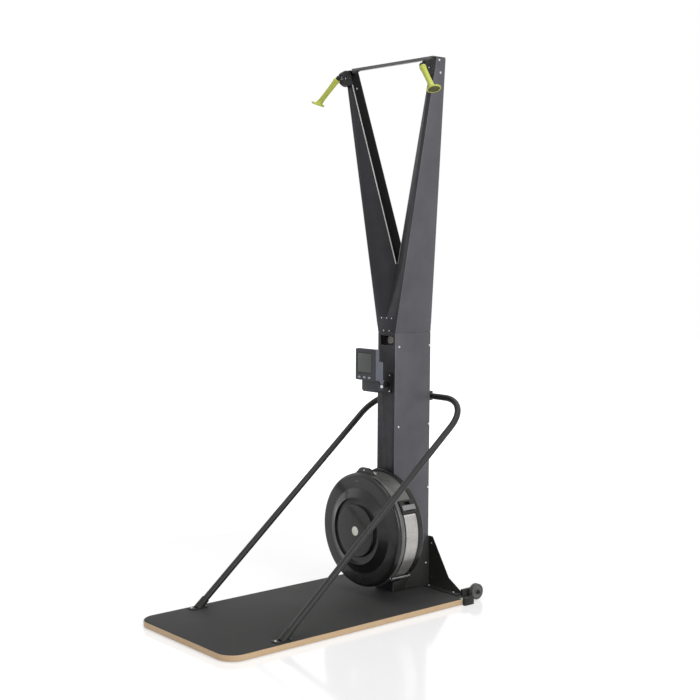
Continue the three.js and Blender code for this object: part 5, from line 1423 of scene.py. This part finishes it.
lamps = {
    "sideSoftbox": {"place": (5.2, 0.2, 2.6), "aim": (0, 0.3, 1.0), "size": (3.0, 3.4), "power": 150},
    "frontSoftbox": {"place": (0.9, -5.0, 3.0), "aim": (0, 0.2, 1.0), "size": (3.0, 2.4), "power": 38},
    "topSoftbox": {"place": (0.4, 0.2, 5.2), "aim": (0, 0.1, 0.6), "size": (3.6, 3.6), "power": 85},
    "leftFill": {"place": (-4.6, -1.6, 2.2), "aim": (0, 0.2, 1.0), "size": (3.0, 2.6), "power": 14},
}
floorLook = {"diffuse": 0.78, "shown": 0.38, "glow": 0.53, "mirror": 0.2, "mirrorRough": 0.12,
             "near": 1.4, "far": 3.2, "drop": 0.0006, "reach": 14}
worldLevel = 0.34


def makeLamp(name, spec):
    data = bpy.data.lights.new(name, "AREA")
    data.shape = "RECTANGLE"
    data.size, data.size_y = spec["size"]
    data.energy = spec["power"]
    aim = Vector(spec["aim"]) - Vector(spec["place"])
    linked(name, data).matrix_world = (
        Matrix.Translation(spec["place"]) @ aim.to_track_quat("-Z", "Y").to_matrix().to_4x4())


# 1 for the rays that show the background: straight to the camera, mirrored or through glass.
def showing(tree):
    path = addNode(tree, "ShaderNodeLightPath").outputs
    mirrored = mathOf(tree, "MAXIMUM", path["Is Glossy Ray"], path["Is Transmission Ray"])
    return mathOf(tree, "MAXIMUM", path["Is Camera Ray"], mirrored)


def makeFloor():
    material, tree, shader = blank("studioFloor")
    tree.nodes.remove(shader)
    place = addNode(tree, "ShaderNodeTexCoord").outputs["Object"]
    away = addNode(tree, "ShaderNodeVectorMath", {0: place}, operation="LENGTH").outputs["Value"]
    glow = ranged(tree, away, floorLook["near"], floorLook["far"], floorLook["glow"], 1.0)

    def shade(kind, level, **more):
        return addNode(tree, "ShaderNode" + kind, {"Color": (level, level, level, 1), **more}).outputs[0]

    def added(first, second):
        return addNode(tree, "ShaderNodeAddShader", {0: first, 1: second}).outputs[0]

    mirror = shade("BsdfAnisotropic", floorLook["mirror"], Roughness=floorLook["mirrorRough"])
    polished = added(added(shade("Emission", 1, Strength=glow), shade("BsdfDiffuse", floorLook["shown"])), mirror)
    inputs = {0: showing(tree), 1: shade("BsdfDiffuse", floorLook["diffuse"]), 2: polished}
    both = addNode(tree, "ShaderNodeMixShader", inputs)
    feed(tree, tree.nodes["Material Output"], {"Surface": both.outputs[0]})
    finishes["studioFloor"] = material
    reach, low = floorLook["reach"], -floorLook["drop"]
    points = [(-reach, -reach, low), (reach, -reach, low), (reach, reach, low), (-reach, reach, low)]
    shaped("studioFloor", (points, [[0, 1, 2, 3]]), "studioFloor", outward=False)


def makeWorld():
    world = bpy.data.worlds.new("studioWorld")
    bpy.context.scene.world = world
    world.use_nodes = True
    tree = world.node_tree
    level = ranged(tree, showing(tree), 0.0, 1.0, worldLevel, 1.0)
    feed(tree, tree.nodes["Background"], {"Strength": level, "Color": (1, 1, 1, 1)})


for name, spec in lamps.items():
    makeLamp(name, spec)
makeFloor()
makeWorld()
bpy.context.scene.view_settings.view_transform = "Standard"
print("room lit")
